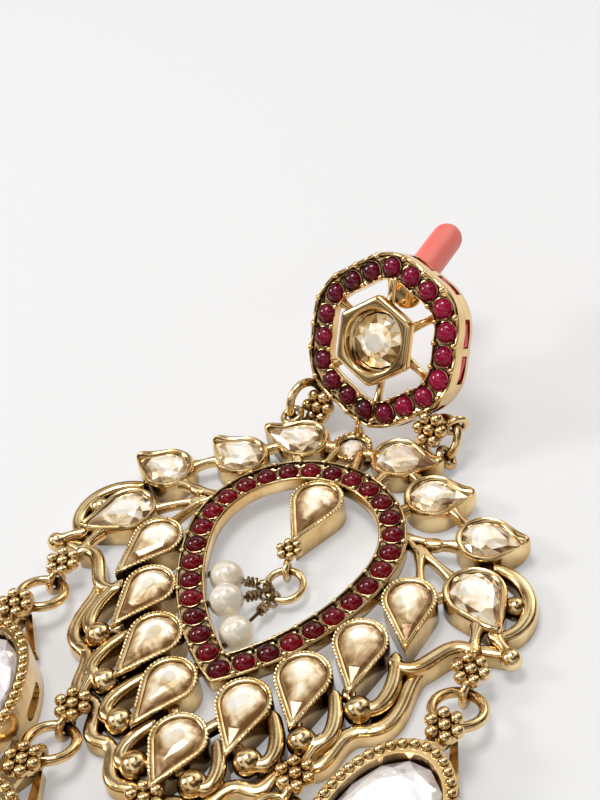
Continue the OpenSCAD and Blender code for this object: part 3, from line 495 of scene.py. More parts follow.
petals, petalRopes, leaves = Build(), Build(), Build()
for k, (c, r, tip, stoneTip) in enumerate(pears):
    outer = fromCentre(pearLine(c, r, tip), c, tip)
    collet(petals, outer, stoneLine(petalLook, c, r, stoneTip, tip), c, petalLook)
    inset, drawn = ropeLook["petal" if k < pendantPlace else "pendant"]
    ropeLine = between(fromCentre(pearLine(c, r - inset, tip), c, tip, ropeLook["points"]), c, drawn)
    petalRopes.tube(raised(ropeLine, petalLook["top"] - ropeLook["below"]), ropeLook["wire"], 8, closed=True,
                    lobes=2, depth=ropeLook["depth"], pitch=ropeLook["pitch"])
for c, r, curl, stoneTip in leafPlaces:
    outer = fromCentre(pearLine(c, r, curl), c, curl)
    reach = np.linalg.norm(outer - c, axis=1)[:, None]
    blunt = leafLook["blunt"]
    start = reach.max() - 2 * blunt  # past it the point is drawn in and rounded
    bluntReach = start + blunt * np.tanh(np.maximum(reach - start, 0) / blunt)
    outer = c + (outer - c) * np.where(reach > start, bluntReach / reach, 1.0)
    fromTip = np.linalg.norm(outer - curl, axis=1)  # the rim turns up to a hook there
    hook = np.exp(-(fromTip / leafLook["tipRun"]) ** 2)
    collet(leaves, outer, stoneLine(leafLook, c, r, stoneTip, curl), c, leafLook, leafLook["tipRise"] * hook,
           leafLook["underRise"] * hook)
petals.make("petalCollets", garlandGold, replaced=["body_frame"])
petalRopes.make("petalRopes", garlandGold)
leaves.make("leafCollets", garlandGold, sharp=50)

# Apex collet and thorn
apexShape = dict(c=(0, 29.4), outer=2.05, stone=1.45, gap=0.03, top=1.85, ledge=0.95, lip=0.97, crown=0.0)
apexRope = dict(radius=1.86, above=0.02, wire=0.19, depth=0.3, pitch=0.55)
thornShape = dict(at=(0, 31.32), foot=1.1, top=4.2,
                  swell=[0.42, 0.46, 0.50, 0.53, 0.54, 0.52, 0.46, 0.34, 0.26, 0.30, 0.30, 0.22, 0.13, 0.05])
apex = Build()
c = np.array(apexShape["c"], float)
rim = roundLoop(72)
collet(apex, c + rim * apexShape["outer"], c + rim * (apexShape["stone"] + apexShape["gap"]), c, apexShape)
apex.tube(raised(c + rim * apexRope["radius"], apexShape["top"] + apexRope["above"]), apexRope["wire"], 10,
          closed=True, lobes=2, depth=apexRope["depth"], pitch=apexRope["pitch"])
apex.tube([(*thornShape["at"], between(thornShape["foot"], thornShape["top"], t))
           for t in np.linspace(0, 1, len(thornShape["swell"]))], thornShape["swell"], 14)
apex.make("apexCollet", garlandGold)

# Ring of cabochons: an arc over the top and a wider arc down each side to the tip
ringShape = dict(radius=9.1, side=22.0, rise=15.5, steps=15)
# The settings between its stones: prongs by place across the row, size and height; the web's foot, top and
# dip; the collar's radius, wire and height
ringRow = dict(stone=1.02, prongs=[(1.05, 0.27, 2.90), (-1.0, 0.24, 2.90)], prongForm=(12, 7, 0.95),
               web=(2.3, 2.50, 0.06), collar=(1.04, 0.055, 2.56))
topR, sideR, rise = ringShape["radius"], ringShape["side"], ringShape["rise"]
topCentre = np.array([0, rise])
offset = sideR - topR
joinAngle = math.asin((sideR ** 2 - offset ** 2 - rise ** 2) / (2 * rise * offset))
sideCentre = topCentre + offset * np.array([-math.cos(joinAngle), math.sin(joinAngle)])
tipAngle = math.atan2(-sideCentre[1], -sideCentre[0])
sideLength = sideR * (-joinAngle - tipAngle)
halfLength = sideLength + topR * (math.pi / 2 + joinAngle)
ringPitch = halfLength / ringShape["steps"]


# A place on the right half: s runs from the tip along the stones' middle line and d outwards
def ringPoint(s, d=0.0):
    if s < sideLength:
        return sideCentre + (sideR + d) * heading(tipAngle + s / sideR)
    return topCentre + (topR + d) * heading((s - sideLength) / topR - joinAngle)


def ringLoop(d, n=110):
    start = (-math.acos(-sideCentre[0] / (sideR + d)) - tipAngle) * sideR
    half = np.array([ringPoint(s, d) for s in np.linspace(start, halfLength, n)])
    return np.vstack([half, half[-2:0:-1] * left])


ringPlaces = []
for k in range(ringShape["steps"] + 1):
    p = ringPoint(k * ringPitch)
    ringPlaces += [p] if k in (0, ringShape["steps"]) else [p, p * left]

webLook = dict(reach=1.12, steps=13, narrow=0.06, wide=0.47, edge=0.07, flat=0.75)


# The metal left between two round stones: it fills the corner on each side and is narrow in the middle.
def web(build, place, pitch, stone, heights):
    low, top, dip = heights
    reach, flat = webLook["reach"], webLook["flat"]
    loops = []
    for d in np.linspace(-reach, reach, webLook["steps"]):
        w = pitch / 2 - math.sqrt(max(stone * stone - d * d, 0.0))
        w = min(max(w, webLook["narrow"]), webLook["wide"] * pitch)
        z = top - dip * math.cos(d * math.pi / (2 * reach))
        edge = z - webLook["edge"]
        section = ((-1, low), (-1, edge), (-flat, z), (flat, z), (1, edge), (1, low))
        loops.append(np.array([(*place(u * w, d), height) for u, height in section]))
    build.skin(loops, closed=False, caps=True)


# Two prongs and a web between each stone of a row and the next
def settings(build, place, pitch, count, look):
    for k in range(count):
        s = (k + 0.5) * pitch
        for d, r, z in look["prongs"]:
            build.ball((*place(s, d), z), r, *look["prongForm"])
        web(build, lambda along, across: place(s + along, across), pitch, look["stone"], look["web"])


def collars(build, places, look):
    radius, wire, z = look["collar"]
    for at in places:
        build.tube(raised(at + radius * roundLoop(28), z), wire, 6, closed=True)


# The outer half of the channel's section: distance from the stones' middle line, and height
outerHalf = [(1.27, 1.4), (1.32, 1.46), (1.33, 2.1), (1.33, 2.66), (1.29, 2.8), (1.2, 2.87), (1.12, 2.86),
             (1.06, 2.76), (1.04, 2.3), (0.7, 2.24)]
channelSection = outerHalf + [(0, 2.22)] + [(-d, z) for d, z in outerHalf[::-1]] + [(0, 1.42)]
channel, prongs = Build(), Build()
channel.skin([raised(ringLoop(d), z) for d, z in channelSection])
channel.make("ringChannel", garlandGold, sharp=44)
for side in (right, left):
    settings(prongs, lambda s, d: ringPoint(s, d) * side, ringPitch, ringShape["steps"], ringRow)
collars(prongs, ringPlaces, ringRow)
prongs.make("ringProngs", garlandGold)

# Scrolls, stems, bridges, gallery and balls of the right side; the last scroll is the low hook.
scrollTable = [
    [(13.6, 6.0), (14.6, 3.6), (14.6, 0.6), (12.45, 0.55)],
    [(10.2, 0.9), (11.6, -1.6), (11.8, -4.2), (9.25, -3.7)],
    [(6.3, -2.6), (8.0, -4.8), (8.4, -7.4), (5.95, -6.9)],
    [(3.2, -6.6), (4.6, -8.6), (4.6, -11.0), (2.65, -10.15)],
    [(13.7, 5.6), (16.6, 4.6), (16.4, 9.9), (19.3, 8.9)],
    [(18.6, 18.6), (22.4, 18.0), (23.6, 13.4), (21.3, 11.5)]]
galleryTable = [
    [(22.0, 9.9), (19.6, 9.6), (17.6, 9.4), (16.0, 6.6)],
    [(16.0, 6.6), (14.4, 4.4), (17.0, 0.2), (13.4, -1.0)],
    [(13.4, -1.0), (11.0, -1.8), (12.8, -5.6), (10.0, -5.6)],
    [(10.0, -5.6), (7.6, -5.8), (9.2, -9.2), (6.6, -8.9)],
    [(6.6, -8.9), (4.2, -8.8), (5.4, -12.4), (2.6, -12.0)],
    [(2.6, -12.0), (1.4, -11.6), (0.8, -12.6), (0, -12.7)]]
# Stems and bridges: both ends and the width
stemTable = [
    ((19.3, 9.0), (19.9, 6.8), 1.3), ((18.9, 11.6), (19.3, 8.9), 1.2), ((20.6, 11.0), (22.4, 9.4), 1.1),
    ((10.6, -3.6), (10.3, -6.6), 1.3), ((9.4, 19.3), (12.4, 19.4), 1.1), ((12.0, 19.3), (14.4, 19.9), 1.1),
    ((9.4, 19.3), (11.6, 17.7), 1.0), ((11.4, 17.9), (12.8, 14.0), 1.0), ((11.4, 18.2), (15.3, 15.9), 1.0),
    ((12.2, 24.0), (14.3, 22.4), 1.1), ((9.25, -3.7), (8.2, -2.6), 1.1), ((12.45, 0.55), (11.2, 1.6), 1.1),
    ((5.95, -6.9), (4.6, -6.2), 1.1), ((2.65, -10.15), (1.0, -9.6), 1.1)]
bridgeTable = [
    ((8.6, 12.3), (10.8, 12.2), 1.6), ((7.2, 7.9), (8.8, 7.1), 1.6), ((4.6, 4.3), (6.0, 2.9), 1.6),
    ((1.6, 0.8), (2.8, -1.0), 1.5), ((2.6, -3.8), (1.0, -6.0), 1.4), ((1.7, 25.0), (1.2, 28.4), 1.0),
    ((4.0, 24.2), (4.8, 27.2), 1.4), ((7.2, 21.6), (8.9, 23.6), 1.6), ((2.0, 28.9), (3.0, 28.8), 1.2),
    ((7.0, 27.6), (8.6, 26.4), 1.2), ((15.2, 13.9), (14.2, 13.2), 1.0)]
ballTable = [((12.45, 0.55), 1.5, 1.28), ((9.25, -3.7), 1.5, 1.28), ((5.95, -6.9), 1.5, 1.28),
             ((2.65, -10.15), 1.5, 1.28), ((21.1, 15.0), 1.0, 1.1), ((22.5, 9.3), 1.55, 0.95)]
scrollLook = dict(width=1.248, swell=0.14, low=0.0, top=2.3, hookTop=1.8, crown=0.95)
# A stem or bridge is narrow at its middle and flares to its ends.
stemLook = dict(middle=0.80, flare=0.62, most=1.25, low=1.4, top=2.27, crown=0.9, steps=12)
bridgeLook = dict(middle=0.86, flare=0.2, most=1.25, low=1.4, top=2.25, crown=0.8, steps=8)
galleryLook = dict(width=1.32, low=0.0, top=1.65, crown=0.6)


def bars(build, table, side, look):
    t = np.linspace(0, 1, look["steps"])
    flared = np.minimum(look["middle"] + look["flare"] * (2 * t - 1) ** 2, look["most"])
    for a, b, width in table:
        line = between(a * side, b * side, t[:, None])
        build.wall(line, width * flared, look["low"], look["top"], look["crown"])


scrolls, gallery = Build(), Build()
for side in (right, left):
    for c in scrollTable:
        line = bezier(c) * side
        swell = 1 + scrollLook["swell"] * np.sin(np.linspace(0, math.pi, len(line)))
        top = scrollLook["hookTop" if c is scrollTable[-1] else "top"]
        scrolls.wall(line, scrollLook["width"] * swell, scrollLook["low"], top, scrollLook["crown"])
    bars(scrolls, stemTable, side, stemLook)
    bars(scrolls, bridgeTable, side, bridgeLook)
    for at, z, r in ballTable:
        scrolls.ball((*(at * side), z), r, 30, 16)
    for c in galleryTable:
        gallery.wall(bezier(c, 30) * side, galleryLook["width"], galleryLook["low"], galleryLook["top"],
                     galleryLook["crown"])
scrolls.make("scrollWires", garlandGold, sharp=50)
gallery.make("galleryBand", garlandGold, sharp=50)

# Flowers and bails. Each drop hangs at a flower: its place, the way to its bail and how far the drop leans.
dropTable = [((19.95, 6.65), -88, 9), ((10.3, -7.05), -90, -4), ((0, -13.0), -90, 0),
             ((-10.3, -7.05), -90, 4), ((-19.95, 6.65), -92, -9)]
flowerLook = {
    "drop": dict(bead=0.56, pitch=1.15, z=2.4, plate=(1.98, 2.35)),
    "pendant": dict(bead=0.43, pitch=0.88, z=2.4, plate=(1.98, 2.35)),
    "stud": dict(bead=0.65, pitch=1.21, z=-0.2, plate=(-1.15, -0.3))}
dropBail = dict(out=1.6, z=1.35, ring=0.97, wire=0.35)
pendantShape = dict(flower=(0, 14.4), bail=(0.35, 12.85, 1.3), turn=16.3, ring=0.8, wire=0.3)


# All flowers: how much the middle bead stands up; the plate's reach past the beads, lobes and edge
flowerBody = dict(middle=0.06, reach=0.32, lobe=0.10, edge=0.08)


# Six beads round a raised middle one, on a plate with the same six lobes
def flowerAt(build, at, look):
    bead, pitch, z = look["bead"], look["pitch"], look["z"]
    at = np.asarray(at, float)
    build.ball((*at, z + flowerBody["middle"]), bead, 18, 10)
    for offset in pitch * roundLoop(6):
        build.ball((*(at + offset), z), bead, 18, 10)
    lobes = flowerBody["lobe"] * np.cos(6 * np.arange(48) * tau / 48)
    outline = (pitch + flowerBody["reach"] * bead + lobes)[:, None] * roundLoop(48)
    low, high = look["plate"]
    edge = flowerBody["edge"]
    section = ((0.02, low), (0.9, low), (0.99, low + edge), (1.0, high - edge), (0.93, high), (0.02, high))
    build.skin([raised(at + outline * size, height) for size, height in section], closed=False, caps=True)


flowers = Build()
for at, aim, _ in dropTable:
    flowerAt(flowers, at, flowerLook["drop"])
    towards = heading(math.radians(aim))
    flowers.torus((*(at + dropBail["out"] * towards), dropBail["z"]), (-towards[1], towards[0], 0),
                  dropBail["ring"], dropBail["wire"])
flowerAt(flowers, pendantShape["flower"], flowerLook["pendant"])
flowers.torus(pendantShape["bail"], (*heading(math.radians(pendantShape["turn"])), 0), pendantShape["ring"],
              pendantShape["wire"])
print("garland made")

# Stud: a hexagon with round corners, placed and tilted as the photograph shows it
studShape = dict(place=(0.86, 36.98, 9.64), tilt=55.3, swing=-11.1, roll=7.3, inradius=6.85, corner=4.0,
                 count=19)
studRow = dict(stone=1.05, prongs=[(1.18, 0.33, 0.06), (-1.02, 0.29, 0.03)], prongForm=(14, 8, 1.0),
               web=(-0.66, -0.42, 0.06), collar=(1.07, 0.06, -0.34))
studMatrix = np.array(Matrix.Translation(studShape["place"])
                      @ Matrix.Rotation(math.radians(studShape["swing"]), 4, "Z")
                      @ Matrix.Rotation(math.radians(studShape["tilt"]), 4, "X")
                      @ Matrix.Rotation(math.radians(studShape["roll"]), 4, "Z"))
cornerR = studShape["corner"]
hexSide = (studShape["inradius"] - cornerR) / math.cos(math.pi / 6)
cornerRun = cornerR * math.pi / 3
sidePeriod = cornerRun + hexSide
haloPitch = 6 * sidePeriod / studShape["count"]


# A place on the halo: s runs round along the stones' middle line and d outwards
def haloPoint(s, d=0.0):
    q = s + cornerRun / 2
    k = math.floor(q / sidePeriod)
    u = q - k * sidePeriod
    bend = math.radians(120 - 60 * k) - min(u, cornerRun) / cornerR
    return (hexSide * heading(math.radians(90 - 60 * k)) + (cornerR + d) * heading(bend)
            + max(0.0, u - cornerRun) * heading(math.radians(-30 - 60 * k)))


stepCount = studShape["count"] * 14
haloSteps = np.arange(stepCount) * (6 * sidePeriod) / stepCount
wave = np.cos(tau * haloSteps / haloPitch)


def haloLoop(d, z, waved=0.0):
    return raised(np.array([haloPoint(s, d) for s in haloSteps]), z - waved * wave)


halo = Build()
# Sections of the halo: distance outwards, height, and how much the edge dips and rises with the stones
haloUpper = [(1.0, -1.42, 0), (1.5, -1.42, 0), (1.5, -0.5, 0), (1.49, -0.2, 0.03), (1.44, -0.06, 0.07),
             (1.34, 0.0, 0.08), (1.22, -0.02, 0.08), (1.12, -0.12, 0.06), (1.07, -0.3, 0), (1.05, -0.66, 0),
             (0.5, -0.7, 0), (-0.5, -0.7, 0), (-1.0, -0.66, 0), (-1.0, -0.25, 0), (-1.04, -0.08, 0.05),
             (-1.1, -0.03, 0.06), (-1.16, -0.06, 0.05), (-1.2, -0.2, 0), (-1.2, -1.0, 0), (-1.12, -1.1, 0),
             (0.95, -1.1, 0)]
haloLower = [(1.0, -2.48, 0), (1.0, -2.97, 0), (1.08, -3.05, 0), (1.42, -3.05, 0), (1.5, -2.95, 0),
             (1.5, -2.48, 0)]
for section in (haloUpper, haloLower):
    halo.skin([haloLoop(*row) for row in section])
# One narrow post at the middle of a side and one broad post round each corner, by half width
postLook = dict(narrow=0.38, broad=0.95, section=[(1.5, -1.40), (1.5, -2.5), (1.0, -2.5), (1.0, -1.40)])
for k in range(6):
    for middle, half in (((k + 0.5) * sidePeriod, postLook["narrow"]), (k * sidePeriod, postLook["broad"])):
        halo.skin([np.array([(*haloPoint(s, d), z) for d, z in postLook["section"]])
                   for s in np.linspace(middle - half, middle + half, 14)], closed=False, caps=True)
halo.moved(studMatrix).make("studHalo", studGold, replaced=["stud_frame"], sharp=40)

studPlaces = [haloPoint(k * haloPitch) for k in range(studShape["count"])]
studProngs = Build()
settings(studProngs, haloPoint, haloPitch, studShape["count"], studRow)
collars(studProngs, studPlaces, studRow)
studProngs.moved(studMatrix).make("studProngs", studGold)

# Hexagon collet, spokes, flowers, pad and rib of the stud
hexLook = dict(size=4.6, blunt=0.985, stone=2.75)
# The collet's section: share of the hexagon's radius and height outside, radius and height inside
hexRings = [(0.985, 0.80), (1.0, 0.84), (1.0, 1.40), (0.992, 1.58), (0.970, 1.71), (0.935, 1.78),
            (0.89, 1.80)]
roundRings = [(3.36, 1.80), (3.26, 1.77), (3.17, 1.67), (3.12, 1.48), (3.10, 1.20), (3.08, 0.70),
              (3.02, 0.45), (2.86, 0.36), (2.83, 0.2), (2.83, -0.5), (2.3, -0.52), (2.25, -1.36),
              (2.30, -1.40), (2.70, -1.40), (2.76, -1.34), (3.88, 0.80)]
spokeLook = dict(line=[(2.9, -0.75), (3.6, -0.95), (4.3, -1.05), (5.0, -1.04), (5.6, -0.95), (6.2, -0.85)],
                 swell=[0.60, 0.50, 0.42, 0.38, 0.42, 0.52])
# A neck runs from the halo to each flower: share of the flower's place, and height
neckLook = dict(flower=(6.5, -7.8), line=[(0.80, -1.1), (0.88, -1.08), (0.95, -1.02), (1.0, -0.95)],
                swell=[0.6, 0.5, 0.55, 0.6])
# The pad of the ear post: share of the radius, and height
padLook = dict(at=(0.6, 5.0), radius=1.7,
               section=[(0.02, -3.45), (0.9, -3.45), (1.0, -3.36), (1.0, -3.0), (0.9, -2.95), (0.02, -2.95)])
ribLook = dict(half=0.8, start=5.9, stop=6.7, low=-3.05, high=-0.85)  # joins the pad to the halo's face
angles = np.arange(96) * tau / 96
apothem = hexLook["size"] * math.cos(math.pi / 6)
hexRadius = np.minimum(apothem / np.cos(angles % (tau / 6) - tau / 12), hexLook["size"] * hexLook["blunt"])
hexUnit = heading(math.pi / 2 + angles)
hexagon = Build()
hexagon.skin([raised(hexUnit * (hexRadius * k)[:, None], z) for k, z in hexRings]
             + [raised(hexUnit * r, z) for r, z in roundRings])
for k in range(6):
    spoke = heading(math.radians(30 + 60 * k))
    hexagon.tube([(*(spoke * r), z) for r, z in spokeLook["line"]], spokeLook["swell"], 12)
for side in (right, left):
    at = neckLook["flower"] * side
    flowerAt(hexagon, at, flowerLook["stud"])
    hexagon.tube([(*(at * k), z) for k, z in neckLook["line"]], neckLook["swell"], 12)
disc = padLook["radius"] * roundLoop(72)
hexagon.skin([raised(padLook["at"] + disc * k, z) for k, z in padLook["section"]], closed=False, caps=True)
half, start, stop = ribLook["half"], ribLook["start"], ribLook["stop"]
ribSide = np.array([(-half, start), (half, start), (half, stop), (-half, stop)]) + (padLook["at"][0], 0)
hexagon.skin([raised(ribSide, z) for z in (ribLook["low"], ribLook["high"])], closed=False, caps=True)
hexagon.moved(studMatrix)

# Bails that hold the two stud links, the right one first; face is the way that the link's plane faces.
hinge = dict(link=2.1, ring=1.0, wire=0.34,
             stud=[(8.41, -7.2, -1.9), (-7.37, -7.53, -2.22)],
             garland=[(9.28, 31.01, 1.37), (-7.64, 31.86, 2.09)],
             face=[(0.441, 0.586, -0.68), (-0.895, 0.411, -0.175)])
for stud, low, face in zip(hinge["stud"], hinge["garland"], hinge["face"]):
    low = np.array(low)
    high = studMatrix[:3, :3] @ np.array(stud) + studMatrix[:3, 3]
    chord = high - low
    away = unit(np.cross(chord, face))
    centre = low + chord / 2 + away * math.sqrt(hinge["link"] ** 2 - chord @ chord / 4)
    normal = np.cross(chord, away)
    flowers.torus(low, np.cross(normal, low - centre), hinge["ring"], hinge["wire"])
    hexagon.torus(high, np.cross(normal, high - centre), hinge["ring"], hinge["wire"])
flowers.make("garlandFlowers", garlandGold)
hexagon.make("studHexagon", studGold, sharp=42)
print("stud made")


# Finishes of the parts that stay as they are in the frame
def dress(names, material):
    for name in names:
        nodes[name].data.materials.clear()
        nodes[name].data.materials.append(material)


dress(["stud_baguettes"], baguetteRed)
dress([f"drop_{part}_{k}" for part in ("frame", "link") for k in range(1, 6)], dropGold)
dress(["stud_link_right", "stud_link_left", "pendant_link", "stud_frame", "body_frame"], garlandGold)
dress([f"pearl_{k}" for k in range(1, 4)], pearlNacre)
dress([f"pearl_wire_{k}" for k in range(1, 4)], wireGold)
dress(["stud_post"], postSteel)
dress(["post_sleeve"], coralSilicone)

# Round cabochons in one piece: a low wall under a full dome
stoneRandom = np.random.default_rng(11)
cabochonLook = {
    "ring": dict(radius=1.0, base=2.25, wall=0.12, dome=0.92, tone=0.35),
    "stud": dict(radius=1.03, base=-0.65, wall=0.12, dome=0.95, tone=0.24, least=-0.10, lighterBy=0.34,
                 lighterFrom=-1.0, lighterRun=6.0)}


def cabochons(name, look, places, tones, material, node, matrix=None):
    build, allTones = Build(), []
    r, rings, n = look["radius"], 8, 24
    circle = roundLoop(n)
    for at, tone in zip(places, tones):
        loops = [raised(at + r * circle, look["base"])]
        for k in range(rings):
            t = k / rings * math.pi / 2
            z = look["base"] + look["wall"] + look["dome"] * math.sin(t)
            loops.append(raised(at + r * math.cos(t) * circle, z))
        build.skin(loops, closed=False, caps=True)
        allTones += [tone] * (n * (rings + 1))
    if matrix is not None:
        build.moved(matrix)
    build.make(name, material, "ruby", [node], tones=allTones, toneName="stoneTone")


ringTones = cabochonLook["ring"]["tone"] * stoneRandom.random(len(ringPlaces))
cabochons("ringCabochons", cabochonLook["ring"], ringPlaces, ringTones, ringRuby, "ring_rubies")
# the stones are lighter in tone towards the garland's right
look = cabochonLook["stud"]
studTones = []
for p in studPlaces:
    share = min(max((p[0] - look["lighterFrom"]) / look["lighterRun"], 0.0), 1.0)
    studTones.append(look["tone"] * stoneRandom.random() + look["least"] + look["lighterBy"] * share)
cabochons("studCabochons", look, studPlaces, studTones, studRuby, "stud_rubies", studMatrix)

# Cut stones: culet, girdle and table heights; then the crown's three tiers by size and share of its height
stoneLook = {
    "petal": dict(heights=(1.45, 2.46, 3.0), tiers=[(0.84, 0.50), (0.60, 0.86), (0.34, 1.0)], count=14,
                  darkest=0.02, soft=True, edge=4, material=petalCrystal, slot="crystal"),
    "leaf": dict(heights=(1.05, 2.10, 2.74), tiers=[(0.80, 0.52), (0.56, 0.88), (0.34, 1.0)], count=10,
                 darkest=0.08, soft=False, edge=1, material=leafCrystal, slot="crystal"),
    "apex": dict(heights=(0.7, 1.45, 2.0), tiers=[(0.78, 0.52), (0.55, 0.88), (0.32, 1.0)], count=9,
                 darkest=0.15, soft=False, edge=1, material=leafCrystal, slot="crystal"),
    "drop": dict(heights=(2.6, 3.80, 4.8), tiers=[(0.88, 0.46), (0.72, 0.80), (0.52, 1.0)], count=14,
                 darkest=0.30, soft=False, edge=1, material=dropCrystal, slot="crystal"),
    "stud": dict(heights=(-0.45, 0.42, 1.28), tiers=[(0.66, 0.66), (0.44, 0.92), (0.26, 1.0)], count=14,
                 darkest=0.0, soft=False, edge=1, material=champagneCrystal, slot="champagne_crystal")}
# The cut's tones carry painted shade towards the rim and painted light towards one side.
cutLook = dict(girdle=0.99, girdleHeight=0.05, culet=0.25, smoky=2.8, bias=(1.6, 1.0, 0.8),
               window=(-0.55, 0.83), lean=0.16, soft=((0.08, 0.40), (0.44, 0.56), (0.74, 0.42)))


# A stone is named after the CAD stone that it replaces. All stones draw soft tones, so that the draws stay
# in step, and only the soft ones use them.
def cutStone(node, kind, outline, c, matrix=None):
    look = stoneLook[kind]
    culet, girdle, top = look["heights"]
    low = look["darkest"]
    n = len(outline)
    half = (outline + np.roll(outline, -1, 0)) / 2
    base = girdle + cutLook["girdleHeight"]
    rings = [(outline, cutLook["culet"], culet), (outline, cutLook["girdle"], girdle),
             (outline, cutLook["girdle"], base)]
    for level, (reach, rise) in enumerate(look["tiers"]):
        rings.append((outline if level == 1 else half, reach, base + rise * (top - base)))
    build = Build()
    build.add(np.vstack([raised(c + k * (loop - c), z) for loop, k, z in rings]), [])
    facetTones = []
    for level in range(5):
        for i in range(n):
            j = (i + 1) % n
            a, b = level * n, (level + 1) * n
            if level < 2:
                build.faces.append((a + i, a + j, b + j, b + i))
                facetTones.append(low)
                continue
            if level == 3:
                build.faces += [(a + i, a + j, b + j), (a + i, b + j, b + i)]
            else:
                build.faces += [(a + i, a + j, b + i), (a + j, b + j, b + i)]
            # painted shade at the rim, painted highlight towards the table
            start = low + (1 - low) * (level - 2) / cutLook["smoky"]
            facetTones += list(start + (1 - start) * stoneRandom.random(2) ** cutLook["bias"][level - 2])
    build.faces.append(tuple(5 * n + i for i in range(n)))
    build.faces.append(tuple(range(n - 1, -1, -1)))
    facetTones += [1, low]
    # a worn stone blends from corner to corner instead; its tones rise towards the table as a painted
    # highlight, and it is brighter towards the light side as painted light
    lean = cutLook["lean"] * ((half - c) @ cutLook["window"]) / np.linalg.norm(half - c, axis=1)
    softTones = np.concatenate([np.full(3 * n, low)] + [
        low + (1 - low) * (start + spread * stoneRandom.random(n)) + lean
        for start, spread in cutLook["soft"]])
    if matrix is not None:
        build.moved(matrix)
    words = node.split("_")
    name = words[0] + "".join(word.capitalize() for word in words[1:])
    build.make(name, look["material"], look["slot"], [node], sharp=look["edge"],
               tones=softTones if look["soft"] else facetTones)


for k, (c, r, tip, stoneTip) in enumerate(pears):
    outline = stoneLine(petalLook, c, r, stoneTip, tip, stoneLook["petal"]["count"])
    cutStone(f"petal_stone_{k + 1}" if k < pendantPlace else "pendant_stone", "petal", outline, c)
for k, (c, r, _, stoneTip) in enumerate(leafPlaces):
    outline = stoneLine(leafLook, c, r, stoneTip, stoneTip, stoneLook["leaf"]["count"])
    cutStone(f"leaf_stone_{k + 1}", "leaf", outline, c)
c = np.array(apexShape["c"], float)
cutStone("apex_stone", "apex", c + apexShape["stone"] * roundLoop(stoneLook["apex"]["count"]), c)
# A drop's stone: from the flower down to the link's end, on to its centre, and the half axes of its oval
dropShape = dict(gap=6.9, reach=10.7, open=(4.2, 7.1))
for k, (at, aim, lean) in enumerate(dropTable):
    across = heading(math.radians(-lean))
    turned = np.array([across, (-across[1], across[0])]).T
    c = at + dropShape["gap"] * heading(math.radians(aim)) + turned @ (0, -dropShape["reach"])
    outline = c + (roundLoop(stoneLook["drop"]["count"]) * dropShape["open"]) @ turned.T
    cutStone(f"drop_stone_{k + 1}", "drop", outline, c)
outline = hexLook["stone"] * roundLoop(stoneLook["stud"]["count"])
cutStone("stud_stone", "stud", outline, np.zeros(2), studMatrix)
print("stones made")

# Floor, light and camera
floorLook = dict(size=3.0, below=0.05, colour=(0.58, 0.58, 0.58, 1), rough=0.6, glow=0.30)
bpy.ops.mesh.primitive_plane_add(size=floorLook["size"], location=(0, 0, -floorLook["below"] * mm))
floor = bpy.context.active_object
floor.name = "paleFloor"
floorMat, _, _, shader = newMaterial("paleFloor")
fill(shader, {"Base Color": floorLook["colour"], "Roughness": floorLook["rough"],
              "Emission Color": (1, 1, 1, 1), "Emission Strength": floorLook["glow"]})
floor.data.materials.append(floorMat)

worldLook = dict(
    strength=0.90, cards=1.9, cardTones=[(0.44, (0.075, 0.045, 0.022, 1)), (0.53, (1, 1, 1, 1))],
    sky=[(0.0, (0.22, 0.19, 0.16, 1)), (0.2, (0.62, 0.60, 0.58, 1)), (0.36, (0.07, 0.05, 0.03, 1)),
         (0.55, (1.0, 1.0, 1.0, 1)), (1.0, (1.0, 1.0, 1.0, 1))])
world = bpy.data.worlds.new("studioWorld")
bpy.context.scene.world = world
world.use_nodes = True
tree, links = world.node_tree.nodes, world.node_tree.links
where = tree.new("ShaderNodeTexCoord")
split = tree.new("ShaderNodeSeparateXYZ")
links.new(where.outputs["Generated"], split.inputs["Vector"])
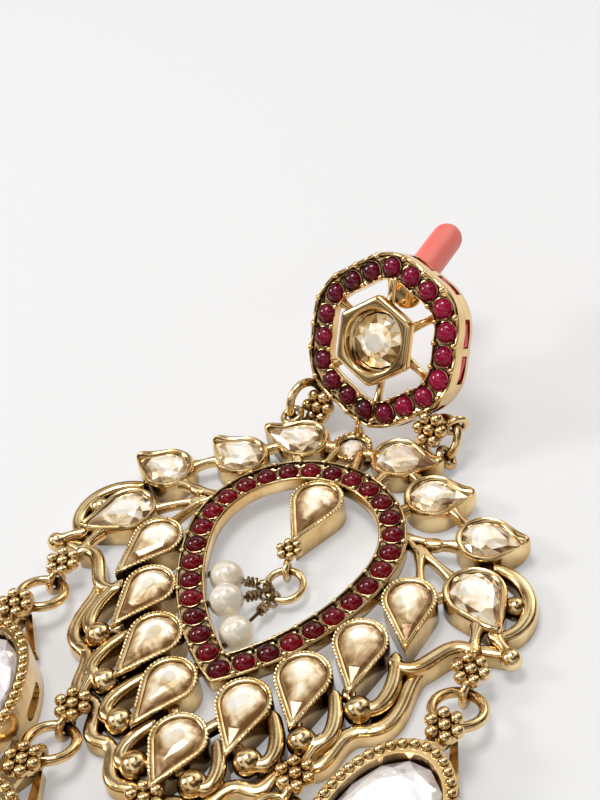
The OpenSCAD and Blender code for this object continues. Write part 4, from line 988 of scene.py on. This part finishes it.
# broad dark cards between the soft boxes
cards = noiseAt(tree, links, worldLook["cards"], 0.0, space="Generated")
room = tree.new("ShaderNodeMix")
room.data_type = "RGBA"
room.blend_type = "MULTIPLY"
fill(room, {0: 1.0})
links.new(ramp(tree, links, split.outputs["Z"], worldLook["sky"]), room.inputs[6])
links.new(ramp(tree, links, cards, worldLook["cardTones"]), room.inputs[7])
links.new(room.outputs[2], tree["Background"].inputs["Color"])
fill(tree["Background"], {"Strength": worldLook["strength"]})

lampTable = {
    "topSoft": dict(at=(-0.08, 0.06, 0.45), aim=(0, 0, 0), size=0.15, watts=0.80),
    "leftSoft": dict(at=(-0.40, -0.10, 0.28), aim=(0, 0.01, 0), size=0.13, watts=0.72),
    "backSoft": dict(at=(0.10, 0.45, 0.25), aim=(0, 0, 0), size=0.25, watts=0.30)}
for name, lamp in lampTable.items():
    light = bpy.data.lights.new(name, "AREA")
    light.size, light.energy = lamp["size"], lamp["watts"]
    lightObject = bpy.data.objects.new(name, light)
    bpy.context.scene.collection.objects.link(lightObject)
    lightObject.location = lamp["at"]
    way = Vector(lamp["aim"]) - Vector(lamp["at"])
    lightObject.rotation_euler = way.to_track_quat("-Z", "Y").to_euler()

# turn: the angles round x, y and z, in degrees, that take the part's axes to the camera's
cameraLook = dict(at=(0.044752, -0.063206, 0.088663), turn=(-45.98463583, -22.89978458, -10.82945745),
                  lens=39.0, sensor=24.0, near=0.005)
cameraData = bpy.data.cameras.new("studioCamera")
cameraData.sensor_fit = "VERTICAL"
cameraData.sensor_height = cameraLook["sensor"]
cameraData.sensor_width = cameraLook["sensor"]
cameraData.lens = cameraLook["lens"]
cameraData.clip_start = cameraLook["near"]
camera = bpy.data.objects.new("studioCamera", cameraData)
bpy.context.scene.collection.objects.link(camera)
bpy.context.scene.camera = camera
turns = [Matrix.Rotation(math.radians(a), 3, axis) for a, axis in zip(cameraLook["turn"], "XYZ")]
bodyToCamera = turns[2] @ turns[1] @ turns[0]
camera.matrix_world = Matrix.Translation(cameraLook["at"]) @ bodyToCamera.transposed().to_4x4()
bpy.context.scene.view_settings.view_transform = "Standard"
print("light and camera set")
